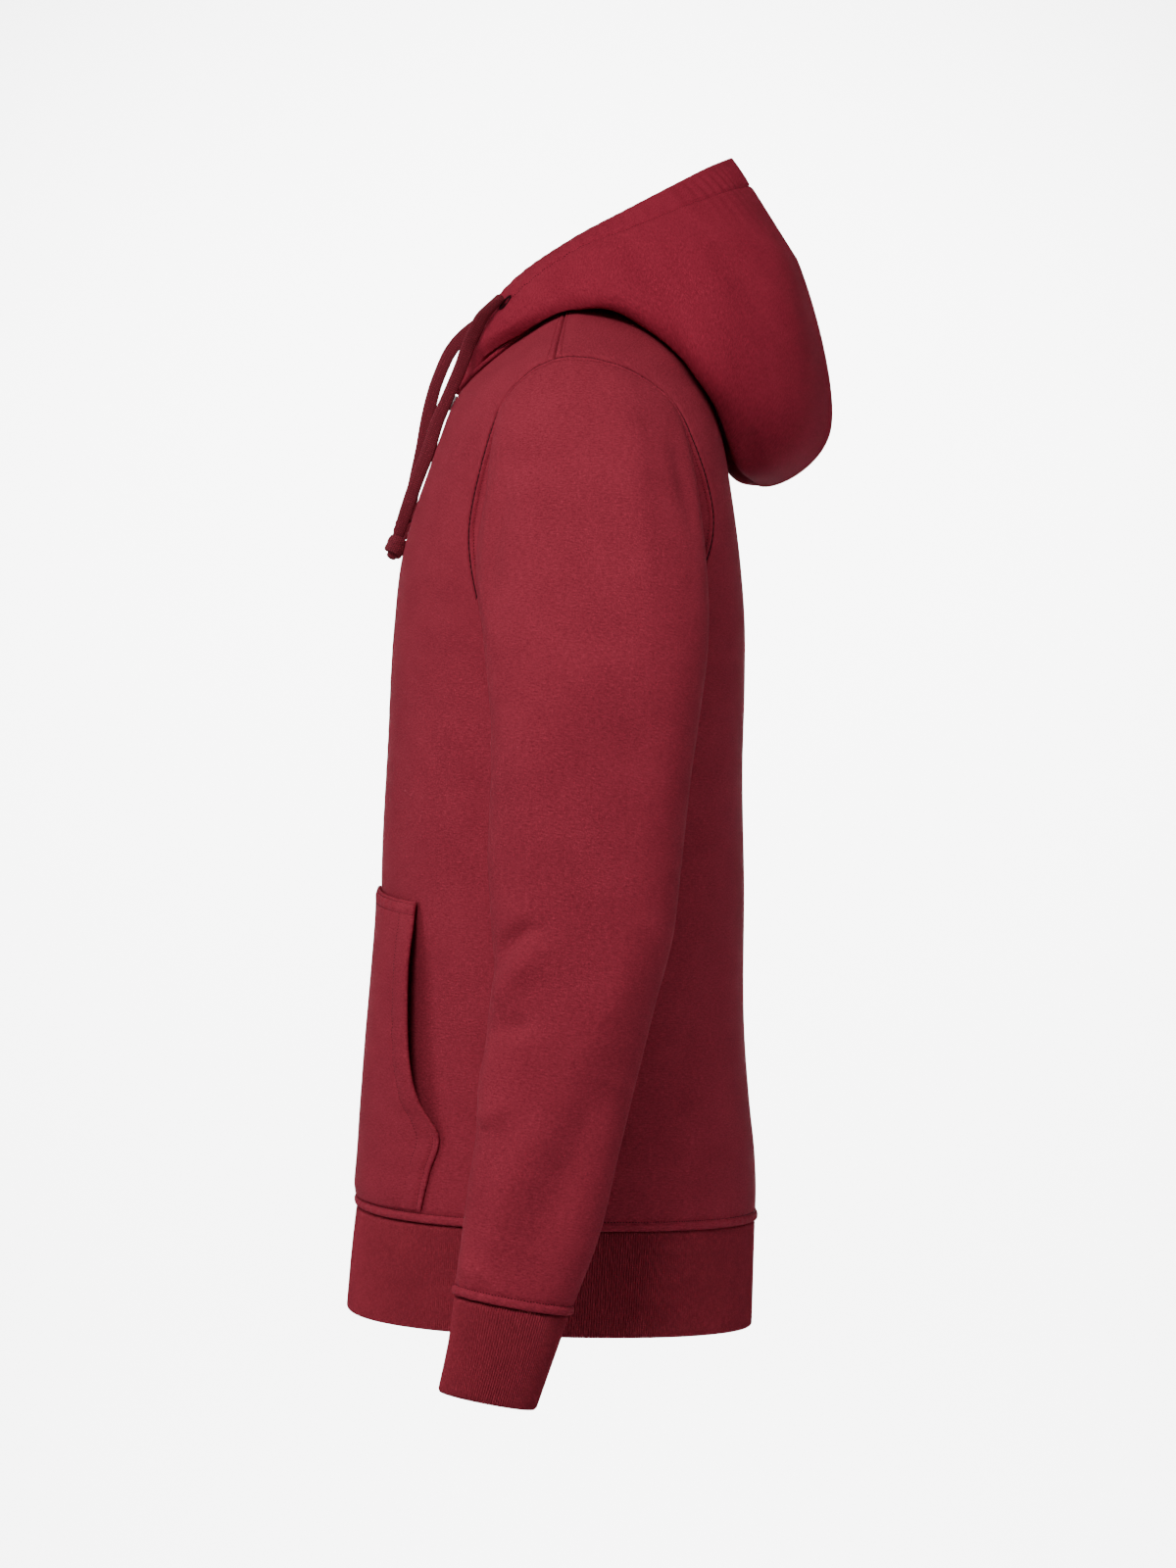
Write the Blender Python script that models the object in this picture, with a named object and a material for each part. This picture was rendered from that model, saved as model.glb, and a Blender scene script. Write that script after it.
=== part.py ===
"""Zip-up hooded sweatshirt, filled out as worn with nobody in it.

Metres, +Z up, the garment faces -Y and the wearer's left is +X.
The origin is the centre of the neck opening, at the height of the shoulder points.

The torso is one smooth surface, cut at the seams into two fronts and a back. A place on it
is a turn (0 at the centre front, a quarter turn at the side, a half turn at the centre back)
and a height. Every cloth piece is a wall grown inwards from a grid of outer points.
"""

import math

import bpy
import numpy as np

# ---- cloth and seams -------------------------------------------------------------------
FLEECE = 0.0024
RIB = 0.0026
HOOD_CLOTH = 0.0028
ZIP_TAPE = 0.0010
SEAM_GAP = 0.0003
HALF_GAP = SEAM_GAP / 2

QUARTER = math.pi / 2
HALF = math.pi

# ---- heights of the seams --------------------------------------------------------------
ARMPIT = -0.245
CHEST_LEVEL = -0.335
HEM_SEAM_FRONT, HEM_SEAM_SIDE, HEM_SEAM_BACK = -0.6165, -0.6250, -0.6280
HEM_FRONT, HEM_SIDE, HEM_BACK = -0.6870, -0.6952, -0.7000
FRONT_NECK = -0.0660
BACK_NECK = -0.0220
NECK_POINT = -0.0075
SHOULDER_TIP = -0.0535
ZIP_EDGE = 0.0035

# ---- the torso's level sections --------------------------------------------------------
# height, half width, y of the widest point, how square the front and the back are
SECTIONS = (
    ("height", "half_width", "side_y", "front_power", "back_power"),
    (-0.705, 0.1800, -0.008, 2.10, 2.40),
    (-0.665, 0.1830, -0.008, 2.10, 2.40),
    (-0.625, 0.1850, -0.008, 2.10, 2.45),
    (-0.560, 0.1895, -0.006, 2.10, 2.50),
    (-0.480, 0.1925, -0.005, 2.10, 2.60),
    (-0.400, 0.1945, -0.004, 2.15, 2.70),
    (-0.320, 0.1970, -0.002, 2.25, 2.90),
    (-0.245, 0.1990, 0.001, 2.35, 3.30),
    (-0.180, 0.2030, 0.003, 2.40, 4.10),
    (-0.140, 0.2070, 0.004, 2.35, 4.50),
    (-0.108, 0.2120, 0.004, 2.25, 4.00),
    (-0.082, 0.2165, 0.004, 2.10, 3.00),
    (-0.064, 0.2150, 0.003, 1.95, 2.35),
    (-0.0535, 0.2070, 0.003, 1.85, 2.20),
    (-0.044, 0.1890, 0.003, 1.75, 2.10),
    (-0.033, 0.1620, 0.003, 1.65, 2.05),
    (-0.020, 0.1280, 0.003, 1.65, 2.00),
    (-0.006, 0.0910, 0.003, 1.75, 1.95),
)

# ---- centre front and centre back, as seen from the side ---------------------------------
CENTRE_FRONT = (
    ("height", "y"),
    (-0.705, -0.1566),
    (-0.6915, -0.1553),
    (-0.6460, -0.1512),
    (-0.6165, -0.1478),
    (-0.5860, -0.1443),
    (-0.5060, -0.1374),
    (-0.4200, -0.1312),
    (-0.3850, -0.1307),
    (-0.3050, -0.1266),
    (-0.2245, -0.1222),
    (-0.1770, -0.1165),
    (-0.1454, -0.1080),
    (-0.1226, -0.1000),
    (-0.0970, -0.0912),
    (-0.0660, -0.0775),
    (-0.0480, -0.0610),
    (-0.0310, -0.0440),
    (-0.0150, -0.0290),
    (-0.0060, -0.0210),
)
CENTRE_BACK = (
    ("height", "y"),
    (-0.705, 0.1216),
    (-0.6850, 0.1223),
    (-0.6465, 0.1234),
    (-0.6280, 0.1240),
    (-0.6060, 0.1246),
    (-0.5860, 0.1239),
    (-0.5460, 0.1200),
    (-0.5060, 0.1170),
    (-0.4000, 0.1165),
    (-0.3250, 0.1152),
    (-0.2600, 0.1166),
    (-0.2245, 0.1164),
    (-0.1840, 0.1132),
    (-0.1347, 0.1065),
    (-0.1000, 0.1010),
    (-0.0600, 0.0925),
    (-0.0300, 0.0830),
    (-0.0060, 0.0720),
)

# ---- armhole: y of its front and back edge at each height --------------------------------
ARMHOLE_FRONT = (
    ("height", "y"),
    (-0.2450, 0.0060),
    (-0.2430, -0.0180),
    (-0.2370, -0.0400),
    (-0.2260, -0.0560),
    (-0.2036, -0.0650),
    (-0.1652, -0.0690),
    (-0.1204, -0.0605),
    (-0.0820, -0.0470),
    (-0.0610, -0.0280),
    (-0.0535, -0.0125),
)
ARMHOLE_BACK = (
    ("height", "y"),
    (-0.2450, 0.0060),
    (-0.2425, 0.0300),
    (-0.2330, 0.0560),
    (-0.2130, 0.0760),
    (-0.1830, 0.0894),
    (-0.1614, 0.0934),
    (-0.1387, 0.0905),
    (-0.1100, 0.0812),
    (-0.0820, 0.0670),
    (-0.0630, 0.0420),
    (-0.0535, 0.0150),
    (-0.0520, -0.0050),
    (-0.0535, -0.0125),
)

# ---- neckline: distance from the centre line at each height -------------------------------
NECK_FRONT = (
    ("height", "x"),
    (-0.0660, 0.0035),
    (-0.0620, 0.0300),
    (-0.0530, 0.0560),
    (-0.0420, 0.0760),
    (-0.0310, 0.0870),
    (-0.0200, 0.0910),
    (-0.0075, 0.0900),
)
NECK_BACK = (
    ("height", "x"),
    (-0.0220, 0.0000),
    (-0.0200, 0.0300),
    (-0.0160, 0.0560),
    (-0.0110, 0.0750),
    (-0.0075, 0.0860),
)

# ---- welt: the seam allowance that stands up above each rib, by distance from the seam ----
WELT = (
    ("distance", "lift"),
    (0.0000, 0.0000),
    (0.0012, 0.0016),
    (0.0045, 0.0018),
    (0.0075, 0.0000),
    (0.7000, 0.0000),
)

# ---- sleeve, from the biceps to the cuff's seam -------------------------------------------
# front and back edge of each ring as seen from the side, its centre and half width across
SLEEVE = (
    ("height", "front_y", "back_y", "centre_x", "half_width", "tilt"),
    (-0.2950, -0.0525, 0.0815, 0.2640, 0.0620, 0.06),
    (-0.3300, -0.0528, 0.0765, 0.2660, 0.0610, 0.05),
    (-0.3900, -0.0552, 0.0698, 0.2690, 0.0580, 0.04),
    (-0.4320, -0.0532, 0.0646, 0.2710, 0.0555, 0.02),
    (-0.4710, -0.0545, 0.0540, 0.2735, 0.0520, 0.00),
    (-0.5040, -0.0588, 0.0450, 0.2765, 0.0485, -0.06),
    (-0.5650, -0.0640, 0.0295, 0.2810, 0.0435, -0.12),
    (-0.6120, -0.0690, 0.0180, 0.2840, 0.0400, -0.16),
    (-0.6645, -0.0758, -0.0015, 0.2870, 0.0345, -0.185),
)
SLEEVE_POWER = 2.15
CAP_START = (0.80, 0.00, -0.60)
CAP_REACH = 0.75
# soft folds round the elbow: height at the arm's front, how far each climbs to the back,
# half its depth of cloth, its reach up and down, and the side it is deepest on (turns)
SLEEVE_FOLDS = (
    ("height", "climb", "depth", "reach", "side"),
    (-0.4050, 0.030, 0.0016, 0.022, 0.25),
    (-0.4500, -0.034, 0.0030, 0.020, 0.22),
    (-0.4980, -0.040, 0.0026, 0.020, 0.20),
    (-0.5560, 0.030, 0.0018, 0.024, 0.30),
)

# ---- cuff -----------------------------------------------------------------------------
CUFF = (
    ("height", "front_y", "back_y", "centre_x", "half_width", "tilt"),
    (-0.6650, -0.0752, -0.0024, 0.2870, 0.0339, -0.185),
    (-0.6920, -0.0785, -0.0100, 0.2880, 0.0322, -0.190),
    (-0.7160, -0.0835, -0.0160, 0.2887, 0.0320, -0.195),
    (-0.7258, -0.0857, -0.0236, 0.2890, 0.0310, -0.195),
)

# ---- 1x1 rib ----------------------------------------------------------------------------
RIB_DEPTH = 0.0005
HEM_RIBS = 300
CUFF_RIBS = 68

# ---- hood: lines that run from the centre front round to the centre back -------------------
HOOD_FOLD = (
    ("share", "x", "y", "z"),
    (0.00, 0.0040, -0.0764, -0.0600),
    (0.14, 0.0440, -0.0690, -0.0485),
    (0.28, 0.0850, -0.0460, -0.0350),
    (0.44, 0.1320, 0.0060, -0.0165),
    (0.60, 0.1400, 0.0440, -0.0270),
    (0.76, 0.1300, 0.0930, -0.0790),
    (0.88, 0.0860, 0.1110, -0.1180),
    (1.00, 0.0000, 0.1285, -0.1285),
)
HOOD_BULGE = (
    ("share", "x", "y", "z"),
    (0.00, 0.0040, -0.0760, -0.0582),
    (0.14, 0.0460, -0.0700, -0.0400),
    (0.28, 0.0920, -0.0470, -0.0250),
    (0.44, 0.1350, 0.0040, -0.0040),
    (0.60, 0.1470, 0.0460, -0.0120),
    (0.76, 0.1440, 0.1060, -0.0540),
    (0.88, 0.0940, 0.1510, -0.0850),
    (1.00, 0.0000, 0.1768, -0.0895),
)
HOOD_SHOULDER = (
    ("share", "x", "y", "z"),
    (0.00, 0.0040, -0.0748, -0.0555),
    (0.14, 0.0430, -0.0665, -0.0270),
    (0.28, 0.0860, -0.0430, -0.0080),
    (0.44, 0.1180, 0.0020, 0.0200),
    (0.60, 0.1240, 0.0430, 0.0250),
    (0.76, 0.1120, 0.1000, 0.0270),
    (0.88, 0.0700, 0.1390, 0.0230),
    (1.00, 0.0000, 0.1568, 0.0190),
)
HOOD_EDGE = (
    ("share", "x", "y", "z"),
    (0.00, 0.0040, -0.0735, -0.0520),
    (0.14, 0.0360, -0.0600, -0.0140),
    (0.28, 0.0680, -0.0400, 0.0090),
    (0.44, 0.0880, -0.0020, 0.0340),
    (0.60, 0.0880, 0.0350, 0.0540),
    (0.76, 0.0720, 0.0680, 0.0725),
    (0.88, 0.0450, 0.0910, 0.0862),
    (1.00, 0.0000, 0.1092, 0.0972),
)
HOOD_STAND = 0.006
HOOD_CLEAR = 0.0036

# ---- pocket: its open edge from the top corner down, and how far it stands off the front ---
POCKET_EDGE = (
    ("height", "x"),
    (-0.6075, 0.1450),
    (-0.5900, 0.1490),
    (-0.5627, 0.1555),
    (-0.5450, 0.1470),
    (-0.5100, 0.1390),
    (-0.4600, 0.1345),
    (-0.4100, 0.1300),
)
POCKET_INNER_TOP = -0.4010
POCKET_SEWN = 0.0011
POCKET_STAND = (
    ("height", "mouth", "middle"),
    (-0.6075, 0.0000, 0.0000),
    (-0.5850, 0.0000, 0.0020),
    (-0.5627, 0.0006, 0.0035),
    (-0.5350, 0.0075, 0.0030),
    (-0.4900, 0.0095, 0.0025),
    (-0.4500, 0.0080, 0.0020),
    (-0.4200, 0.0025, 0.0010),
    (-0.4000, 0.0000, 0.0000),
)
POCKET_COLUMNS, POCKET_ROWS = 7, 8

# ---- zip and cords -------------------------------------------------------------------------
TAPE_INNER, TAPE_OUTER = 0.0004, 0.0120
TAPE_DEPTH = 0.0040
CORD_RADIUS = 0.0030
CORD_LEFT = (
    ("x", "y", "z"),
    (0.0829, -0.0482, -0.0066),
    (0.0790, -0.0533, -0.0113),
    (0.0725, -0.0606, -0.0190),
    (0.0665, -0.0655, -0.0285),
    (0.0610, -0.0697, -0.0375),
    (0.0570, -0.0752, -0.0520),
    (0.0540, -0.0826, -0.0690),
    (0.0512, -0.0906, -0.0875),
    (0.0485, -0.0967, -0.1065),
    (0.0460, -0.1026, -0.1213),
    (0.0435, -0.1084, -0.1370),
    (0.0410, -0.1134, -0.1515),
    (0.0385, -0.1170, -0.1625),
)
CORD_RIGHT = (
    ("x", "y", "z"),
    (-0.0829, -0.0482, -0.0066),
    (-0.0765, -0.0530, -0.0088),
    (-0.0690, -0.0585, -0.0112),
    (-0.0615, -0.0665, -0.0152),
    (-0.0555, -0.0758, -0.0232),
    (-0.0505, -0.0831, -0.0322),
    (-0.0475, -0.0880, -0.0417),
    (-0.0440, -0.0945, -0.0590),
    (-0.0410, -0.0992, -0.0790),
    (-0.0375, -0.1028, -0.1010),
    (-0.0345, -0.1078, -0.1240),
    (-0.0310, -0.1125, -0.1480),
)
# the folded and tied end of each cord, an oval of cloth
KNOTS = (
    ("x", "y", "z", "half_x", "half_y", "half_z", "lean"),
    (0.0371, -0.1195, -0.1710, 0.0062, 0.0046, 0.0080, 0.30),
    (-0.0300, -0.1161, -0.1558, 0.0062, 0.0046, 0.0078, 0.24),
)
KNOT_RINGS, KNOT_SIDES = 7, 12
CORD_POINTS = 14

# the slider stands on the front's surface: half width, then low and high up it and out of it
SLIDER_HEIGHT = -0.0720
SLIDER_BLOCKS = (
    ("half_x", "low", "high", "inner", "outer"),
    (0.0026, -0.0045, 0.0045, -0.0034, 0.0005),
    (0.0042, -0.0055, 0.0055, 0.0005, 0.0019),
    (0.0008, 0.0035, 0.0048, 0.0019, 0.0043),
    (0.0008, -0.0048, -0.0035, 0.0019, 0.0043),
    (0.0008, -0.0048, 0.0048, 0.0043, 0.0054),
)
# the pull tab: a bar through the slider's bridge, two sides past it and a tab below
PULL_AXIS = (0.00125, 0.0031)
PULL_BLOCKS = (
    ("low_x", "high_x", "low", "high", "inner", "outer"),
    (-0.0028, 0.0028, 0.0005, 0.0020, 0.0025, 0.0037),
    (-0.0028, -0.0014, -0.0065, 0.0005, 0.0025, 0.0037),
    (0.0014, 0.0028, -0.0065, 0.0005, 0.0025, 0.0037),
    (-0.0028, 0.0028, -0.0180, -0.0065, 0.0025, 0.0037),
)

# ---- grid sizes -----------------------------------------------------------------------
BODY_ROWS = 9
ARMHOLE_FRONT_ROWS = 9
ARMHOLE_BACK_ROWS = 11
NECK_COLUMNS = 7
SHOULDER_COLUMNS = 5
CAP_ROWS = 6
ARM_ROWS = 14
HOOD_ROWS_EACH = (1, 1, 2, 2, 2, 3)


def column(table, name):
    """One named column of a table, as an array."""
    at = table[0].index(name)
    return np.array([row[at] for row in table[1:]], float)


def curve_through(known, values, at):
    """Smooth cubic curve through values given at the rising numbers in known."""
    known = np.asarray(known, float)
    values = np.asarray(values, float)
    flat = values.ndim == 1
    values = values.reshape(len(known), -1)
    rise = np.diff(values, axis=0) / np.diff(known)[:, None]
    slope = np.vstack([rise[:1], (rise[:-1] + rise[1:]) / 2, rise[-1:]])
    step = np.diff(known)
    if len(known) > 2:
        before, after = step[:-1, None], step[1:, None]
        slope[1:-1] = (rise[:-1] * after + rise[1:] * before) / (before + after)
    at = np.clip(np.asarray(at, float), known[0], known[-1])
    left = np.clip(np.searchsorted(known, at, "right") - 1, 0, len(known) - 2)
    span = step[left]
    t = ((at - known[left]) / span)[..., None]
    span = span[..., None]
    a, b = values[left], values[left + 1]
    blended = (
        (2 * t**3 - 3 * t**2 + 1) * a
        + (t**3 - 2 * t**2 + t) * span * slope[left]
        + (3 * t**2 - 2 * t**3) * b
        + (t**3 - t**2) * span * slope[left + 1]
    )
    return blended[..., 0] if flat else blended


def look_up(table, name, height):
    """A named column of a table, read smoothly at a height."""
    heights = column(table, "height")
    order = np.argsort(heights)
    return curve_through(heights[order], column(table, name)[order], height)


def unit(vectors):
    """The vectors at length 1."""
    return vectors / np.maximum(np.linalg.norm(vectors, axis=-1, keepdims=True), 1e-12)


def evenly(points, count):
    """The numbers from 0 to 1 that divide a line of points into count equal lengths."""
    along = np.concatenate([[0], np.cumsum(np.linalg.norm(np.diff(points, axis=0), axis=1))])
    share = np.linspace(0, 1, len(points))
    return np.interp(np.linspace(0, along[-1], count + 1), along, share)


# ---- the torso's surface ----------------------------------------------------------------
def section_sizes(turn, height):
    """Half width, depth, side y and power of the level section, on the front or back half."""
    turn, height = np.broadcast_arrays(np.asarray(turn, float), np.asarray(height, float))
    front = np.cos(turn) >= 0
    side = look_up(SECTIONS, "side_y", height)
    deep = np.where(
        front,
        side - look_up(CENTRE_FRONT, "y", height),
        look_up(CENTRE_BACK, "y", height) - side,
    )
    power = np.where(
        front,
        look_up(SECTIONS, "front_power", height),
        look_up(SECTIONS, "back_power", height),
    )
    return look_up(SECTIONS, "half_width", height), deep, side, power


def torso(turn, height):
    """Outer points of the torso at these turns and heights, on the wearer's left."""
    half_width, deep, side, power = section_sizes(turn, height)
    across, along = np.sin(turn), np.cos(turn)
    reach = (np.abs(across) / half_width) ** power + (np.abs(along) / deep) ** power
    reach = reach ** (-1 / power)
    height = np.broadcast_to(np.asarray(height, float), reach.shape)
    return np.stack([reach * across, side - reach * along, height], axis=-1)


def torso_normal(turn, height):
    """Outward normals of the torso's surface."""
    d_turn, d_height = 0.01, 0.001
    around = torso(turn + d_turn, height) - torso(turn - d_turn, height)
    up = torso(turn, height + d_height) - torso(turn, height - d_height)
    return unit(np.cross(around, up))


def turn_at_y(height, y):
    """The turn at which the surface has this y: on the front half below side y, else the back."""
    height, y = np.asarray(height, float), np.asarray(y, float)
    side = look_up(SECTIONS, "side_y", height)
    guess = np.where(y < side, QUARTER * 0.5, QUARTER * 1.5)
    half_width, deep, side, power = section_sizes(guess, height)
    share = np.clip(np.abs(y - side) / deep, 0, 1)
    x = half_width * (1 - share**power) ** (1 / power)
    return np.arctan2(x, side - y)


def turn_at_x(height, x, back):
    """The turn at which the surface is this far from the centre line."""
    height, x = np.asarray(height, float), np.asarray(x, float)
    half_width, deep, side, power = section_sizes(HALF if back else 0.0, height)
    share = np.clip(x / half_width, 0, 1)
    y = deep * (1 - share**power) ** (1 / power)
    return np.arctan2(x, -y if back else y)


def hem_seam_height(turn):
    """The seam between body and rib, a little lower behind."""
    return curve_through((0, QUARTER, HALF), (HEM_SEAM_FRONT, HEM_SEAM_SIDE, HEM_SEAM_BACK), turn)


def hem_height(turn):
    """The bottom edge of the rib."""
    return curve_through((0, QUARTER, HALF), (HEM_FRONT, HEM_SIDE, HEM_BACK), turn)


# ---- seam lines on the torso ---------------------------------------------------------------
def along_line(turns, heights, count):
    """Points of a line on the torso, divided into count equal lengths."""
    line = torso(turns, heights)
    share = evenly(line, count)
    known = np.linspace(0, 1, len(line))
    return torso(np.interp(share, known, turns), np.interp(share, known, heights))


def from_table(table, name, count=240):
    """Heights and one column of a table, followed finely row by row."""
    steps = np.linspace(0, 1, len(table) - 1)
    fine = np.linspace(0, 1, count)
    heights = curve_through(steps, column(table, "height"), fine)
    return heights, curve_through(steps, column(table, name), fine)


def armhole_line(table, count):
    """One side of the armhole, from the armpit to the shoulder tip."""
    heights, y = from_table(table, "y")
    turns = turn_at_y(heights, y)
    turns[0] = QUARTER
    return along_line(turns, heights, count)


def shoulder_line(count):
    """The shoulder seam from the neck to the tip, a little in front of the ridge."""
    heights = np.linspace(NECK_POINT, SHOULDER_TIP, 120)
    y = np.linspace(-0.0030, column(ARMHOLE_FRONT, "y")[-1], 120)
    return along_line(turn_at_y(heights, y), heights, count)


def neck_line(back, count):
    """The neckline from the centre to the shoulder seam."""
    heights, x = from_table(NECK_BACK if back else NECK_FRONT, "x")
    turns = turn_at_x(heights, np.maximum(x, 0), back)
    turns[-1] = turn_at_y(heights[-1], -0.0030)
    return along_line(turns, heights, count)


def side_line(turn, bottom, top, count):
    """A line up the torso at one turn."""
    return along_line(np.full(120, turn), np.linspace(bottom, top, 120), count)


def zip_heights(count_body, count_chest):
    """Heights of the rows down the zip's edge, rib seam first."""
    body = np.linspace(HEM_SEAM_FRONT, CHEST_LEVEL, count_body + 1)
    chest = np.linspace(CHEST_LEVEL, FRONT_NECK, count_chest + 1)
    return np.concatenate([body, chest[1:]])


def rib_seam_line(first, last, count):
    """The seam between the body and the rib, from one turn to another."""
    turns = np.linspace(first, last, 200)
    return along_line(turns, hem_seam_height(turns), count)


# ---- grids ----------------------------------------------------------------------------------
def filled_between(bottom, top, left, right):
    """A grid of points between four edge lines that share their corners."""
    u = np.linspace(0, 1, len(bottom))[None, :, None]
    v = np.linspace(0, 1, len(left))[:, None, None]
    corners = (
        (1 - u) * (1 - v) * bottom[0]
        + u * (1 - v) * bottom[-1]
        + (1 - u) * v * top[0]
        + u * v * top[-1]
    )
    ruled = (1 - v) * bottom[None] + v * top[None] + (1 - u) * left[:, None] + u * right[:, None]
    return ruled - corners


def onto_torso(points):
    """The points moved level onto the torso's surface."""
    height = np.clip(points[..., 2], -0.7000, NECK_POINT + 0.0005)
    side = look_up(SECTIONS, "side_y", height)
    return torso(np.arctan2(points[..., 0], side - points[..., 1]), height)


def normals_at(points):
    """The torso's outward normals at points that lie on it."""
    side = look_up(SECTIONS, "side_y", points[..., 2])
    turn = np.arctan2(points[..., 0], side - points[..., 1])
    return torso_normal(turn, np.clip(points[..., 2], -0.7000, NECK_POINT))


def panel_grid(bottom, top, left, right):
    """A panel of the torso between its four seams."""
    points = filled_between(bottom, top, left, right)
    points[1:-1, 1:-1] = onto_torso(points[1:-1, 1:-1])
    return points


def trim(line, inner, gap=HALF_GAP):
    """Moves a grid's edge line towards the next line in, square to itself."""
    tangent = unit(np.gradient(line, axis=0))
    towards = inner - line
    towards = towards - np.sum(towards * tangent, axis=-1, keepdims=True) * tangent
    return line + unit(towards) * gap


def trim_all(points):
    """The grid with a seam's half gap taken off its four edges."""
    points = points.copy()
    points[:, 0] = trim(points[:, 0], points[:, 1])
    points[:, -1] = trim(points[:, -1], points[:, -2])
    points[0] = trim(points[0], points[1])
    points[-1] = trim(points[-1], points[-2])
    return points


def grid_normals(points, wrap):
    """Outward normals of a grid whose rows run upwards and columns to the wearer's left."""
    if wrap:
        around = np.roll(points, -1, axis=1) - np.roll(points, 1, axis=1)
    else:
        around = np.gradient(points, axis=1)
    return unit(np.cross(around, np.gradient(points, axis=0)))


# ---- the armhole's shared seam ----------------------------------------------------------------
def armhole_loop(front_rows, back_rows):
    """The armhole from the armpit up the front and down the back, open by one point."""
    front = armhole_line(ARMHOLE_FRONT, front_rows)
    back = armhole_line(ARMHOLE_BACK, back_rows)
    return np.concatenate([front, back[-2:0:-1]])


def armhole_seam(loop):
    """Directions along, into the hollow and out of the panel at each armhole point."""
    along = unit(np.roll(loop, -1, axis=0) - np.roll(loop, 1, axis=0))
    body = normals_at(loop)
    leaves = unit(np.cross(body, along))
    start = unit(np.array(CAP_START) + 0.35 * leaves)
    sleeve = unit(np.cross(start, along))
    inwards = -unit(body + sleeve)
    outwards = np.cross(inwards, along)
    outwards = unit(outwards * np.sign(np.sum(outwards * start, axis=-1, keepdims=True)))
    return start, inwards, outwards


# ---- meshes -------------------------------------------------------------------------------
def clear_scene():
    """Removes what the scene holds."""
    for item in list(bpy.data.objects):
        bpy.data.objects.remove(item, do_unlink=True)


def finish_of(name, colour, roughness, metallic=0.0):
    """A plain Principled material."""
    material = bpy.data.materials.new(name)
    material.use_nodes = True
    shader = material.node_tree.nodes["Principled BSDF"]
    shader.inputs["Base Color"].default_value = (*colour, 1.0)
    shader.inputs["Roughness"].default_value = roughness
    shader.inputs["Metallic"].default_value = metallic
    return material


def add_mesh(name, vertices, faces, material):
    """Links a mesh object to the scene."""
    mesh = bpy.data.meshes.new(name)
    mesh.from_pydata([tuple(float(c) for c in point) for point in vertices], [], faces)
    mesh.materials.append(material)
    mesh.update()
    item = bpy.data.objects.new(name, mesh)
    bpy.context.scene.collection.objects.link(item)
    return item


def grid_faces(points, start, wrap, turned):
    """Triangles of a grid of points, each square cut along its shorter diagonal."""
    rows, columns = points.shape[:2]
    flat = points.reshape(-1, 3)
    faces = []
    for i in range(rows - 1):
        for j in range(columns if wrap else columns - 1):
            a, b = i * columns + j, i * columns + (j + 1) % columns
            c, d = b + columns, a + columns
            rising, falling = flat[c] - flat[a], flat[d] - flat[b]
            if rising @ rising <= falling @ falling:
                corners = [(a, b, c), (a, c, d)]
            else:
                corners = [(a, b, d), (b, c, d)]
            faces += [tuple(start + k for k in face) for face in corners]
    return [face[::-1] for face in faces] if turned else faces


def rim_faces(outer, inner, points):
    """Triangles between an outer and an inner line of points, which may differ in number."""
    faces = []
    i = j = 0
    last_i, last_j = len(outer) - 1, len(inner) - 1
    while i < last_i or j < last_j:
        outer_next = (i + 1) * last_j <= (j + 1) * last_i
        if last_i == last_j and i == j:
            one = points[outer[i + 1]] - points[inner[j]]
            other = points[outer[i]] - points[inner[j + 1]]
            outer_next = one @ one <= other @ other
        elif last_i == last_j:
            outer_next = i < j
        if j == last_j or (i < last_i and outer_next):
            faces.append((outer[i + 1], outer[i], inner[j]))
            i += 1
        else:
            faces.append((outer[i], inner[j], inner[j + 1]))
            j += 1
    return faces


def wall(outer, inner, wrap=False):
    """Vertices and triangles of a closed wall between an outer and an inner grid."""
    rows, columns = outer.shape[:2]
    inner_rows, inner_columns = inner.shape[:2]
    start = rows * columns
    faces = grid_faces(outer, 0, wrap, False)
    faces += grid_faces(inner, start, wrap, True)

    def line(first, step, count):
        return [first + step * k for k in range(count)]

    top, inner_top = (rows - 1) * columns, start + (inner_rows - 1) * inner_columns
    low = line(0, 1, columns) + ([0] if wrap else [])
    inner_low = line(start, 1, inner_columns) + ([start] if wrap else [])
    high = line(top, 1, columns) + ([top] if wrap else [])
    inner_high = line(inner_top, 1, inner_columns) + ([inner_top] if wrap else [])
    points = np.concatenate([outer.reshape(-1, 3), inner.reshape(-1, 3)])
    faces += rim_faces(low, inner_low, points)
    faces += [face[::-1] for face in rim_faces(high, inner_high, points)]
    if not wrap:
        left, inner_left = line(0, columns, rows), line(start, inner_columns, inner_rows)
        right = line(columns - 1, columns, rows)
        inner_right = line(start + inner_columns - 1, inner_columns, inner_rows)
        faces += [face[::-1] for face in rim_faces(left, inner_left, points)]
        faces += rim_faces(right, inner_right, points)
    return points, faces


def add_pair(name, vertices, faces, material):
    """The wearer's left piece and its mirror image."""
    add_mesh(name + "_left", vertices, faces, material)
    mirrored = vertices * np.array([-1.0, 1.0, 1.0])
    add_mesh(name + "_right", mirrored, [face[::-1] for face in faces], material)


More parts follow.
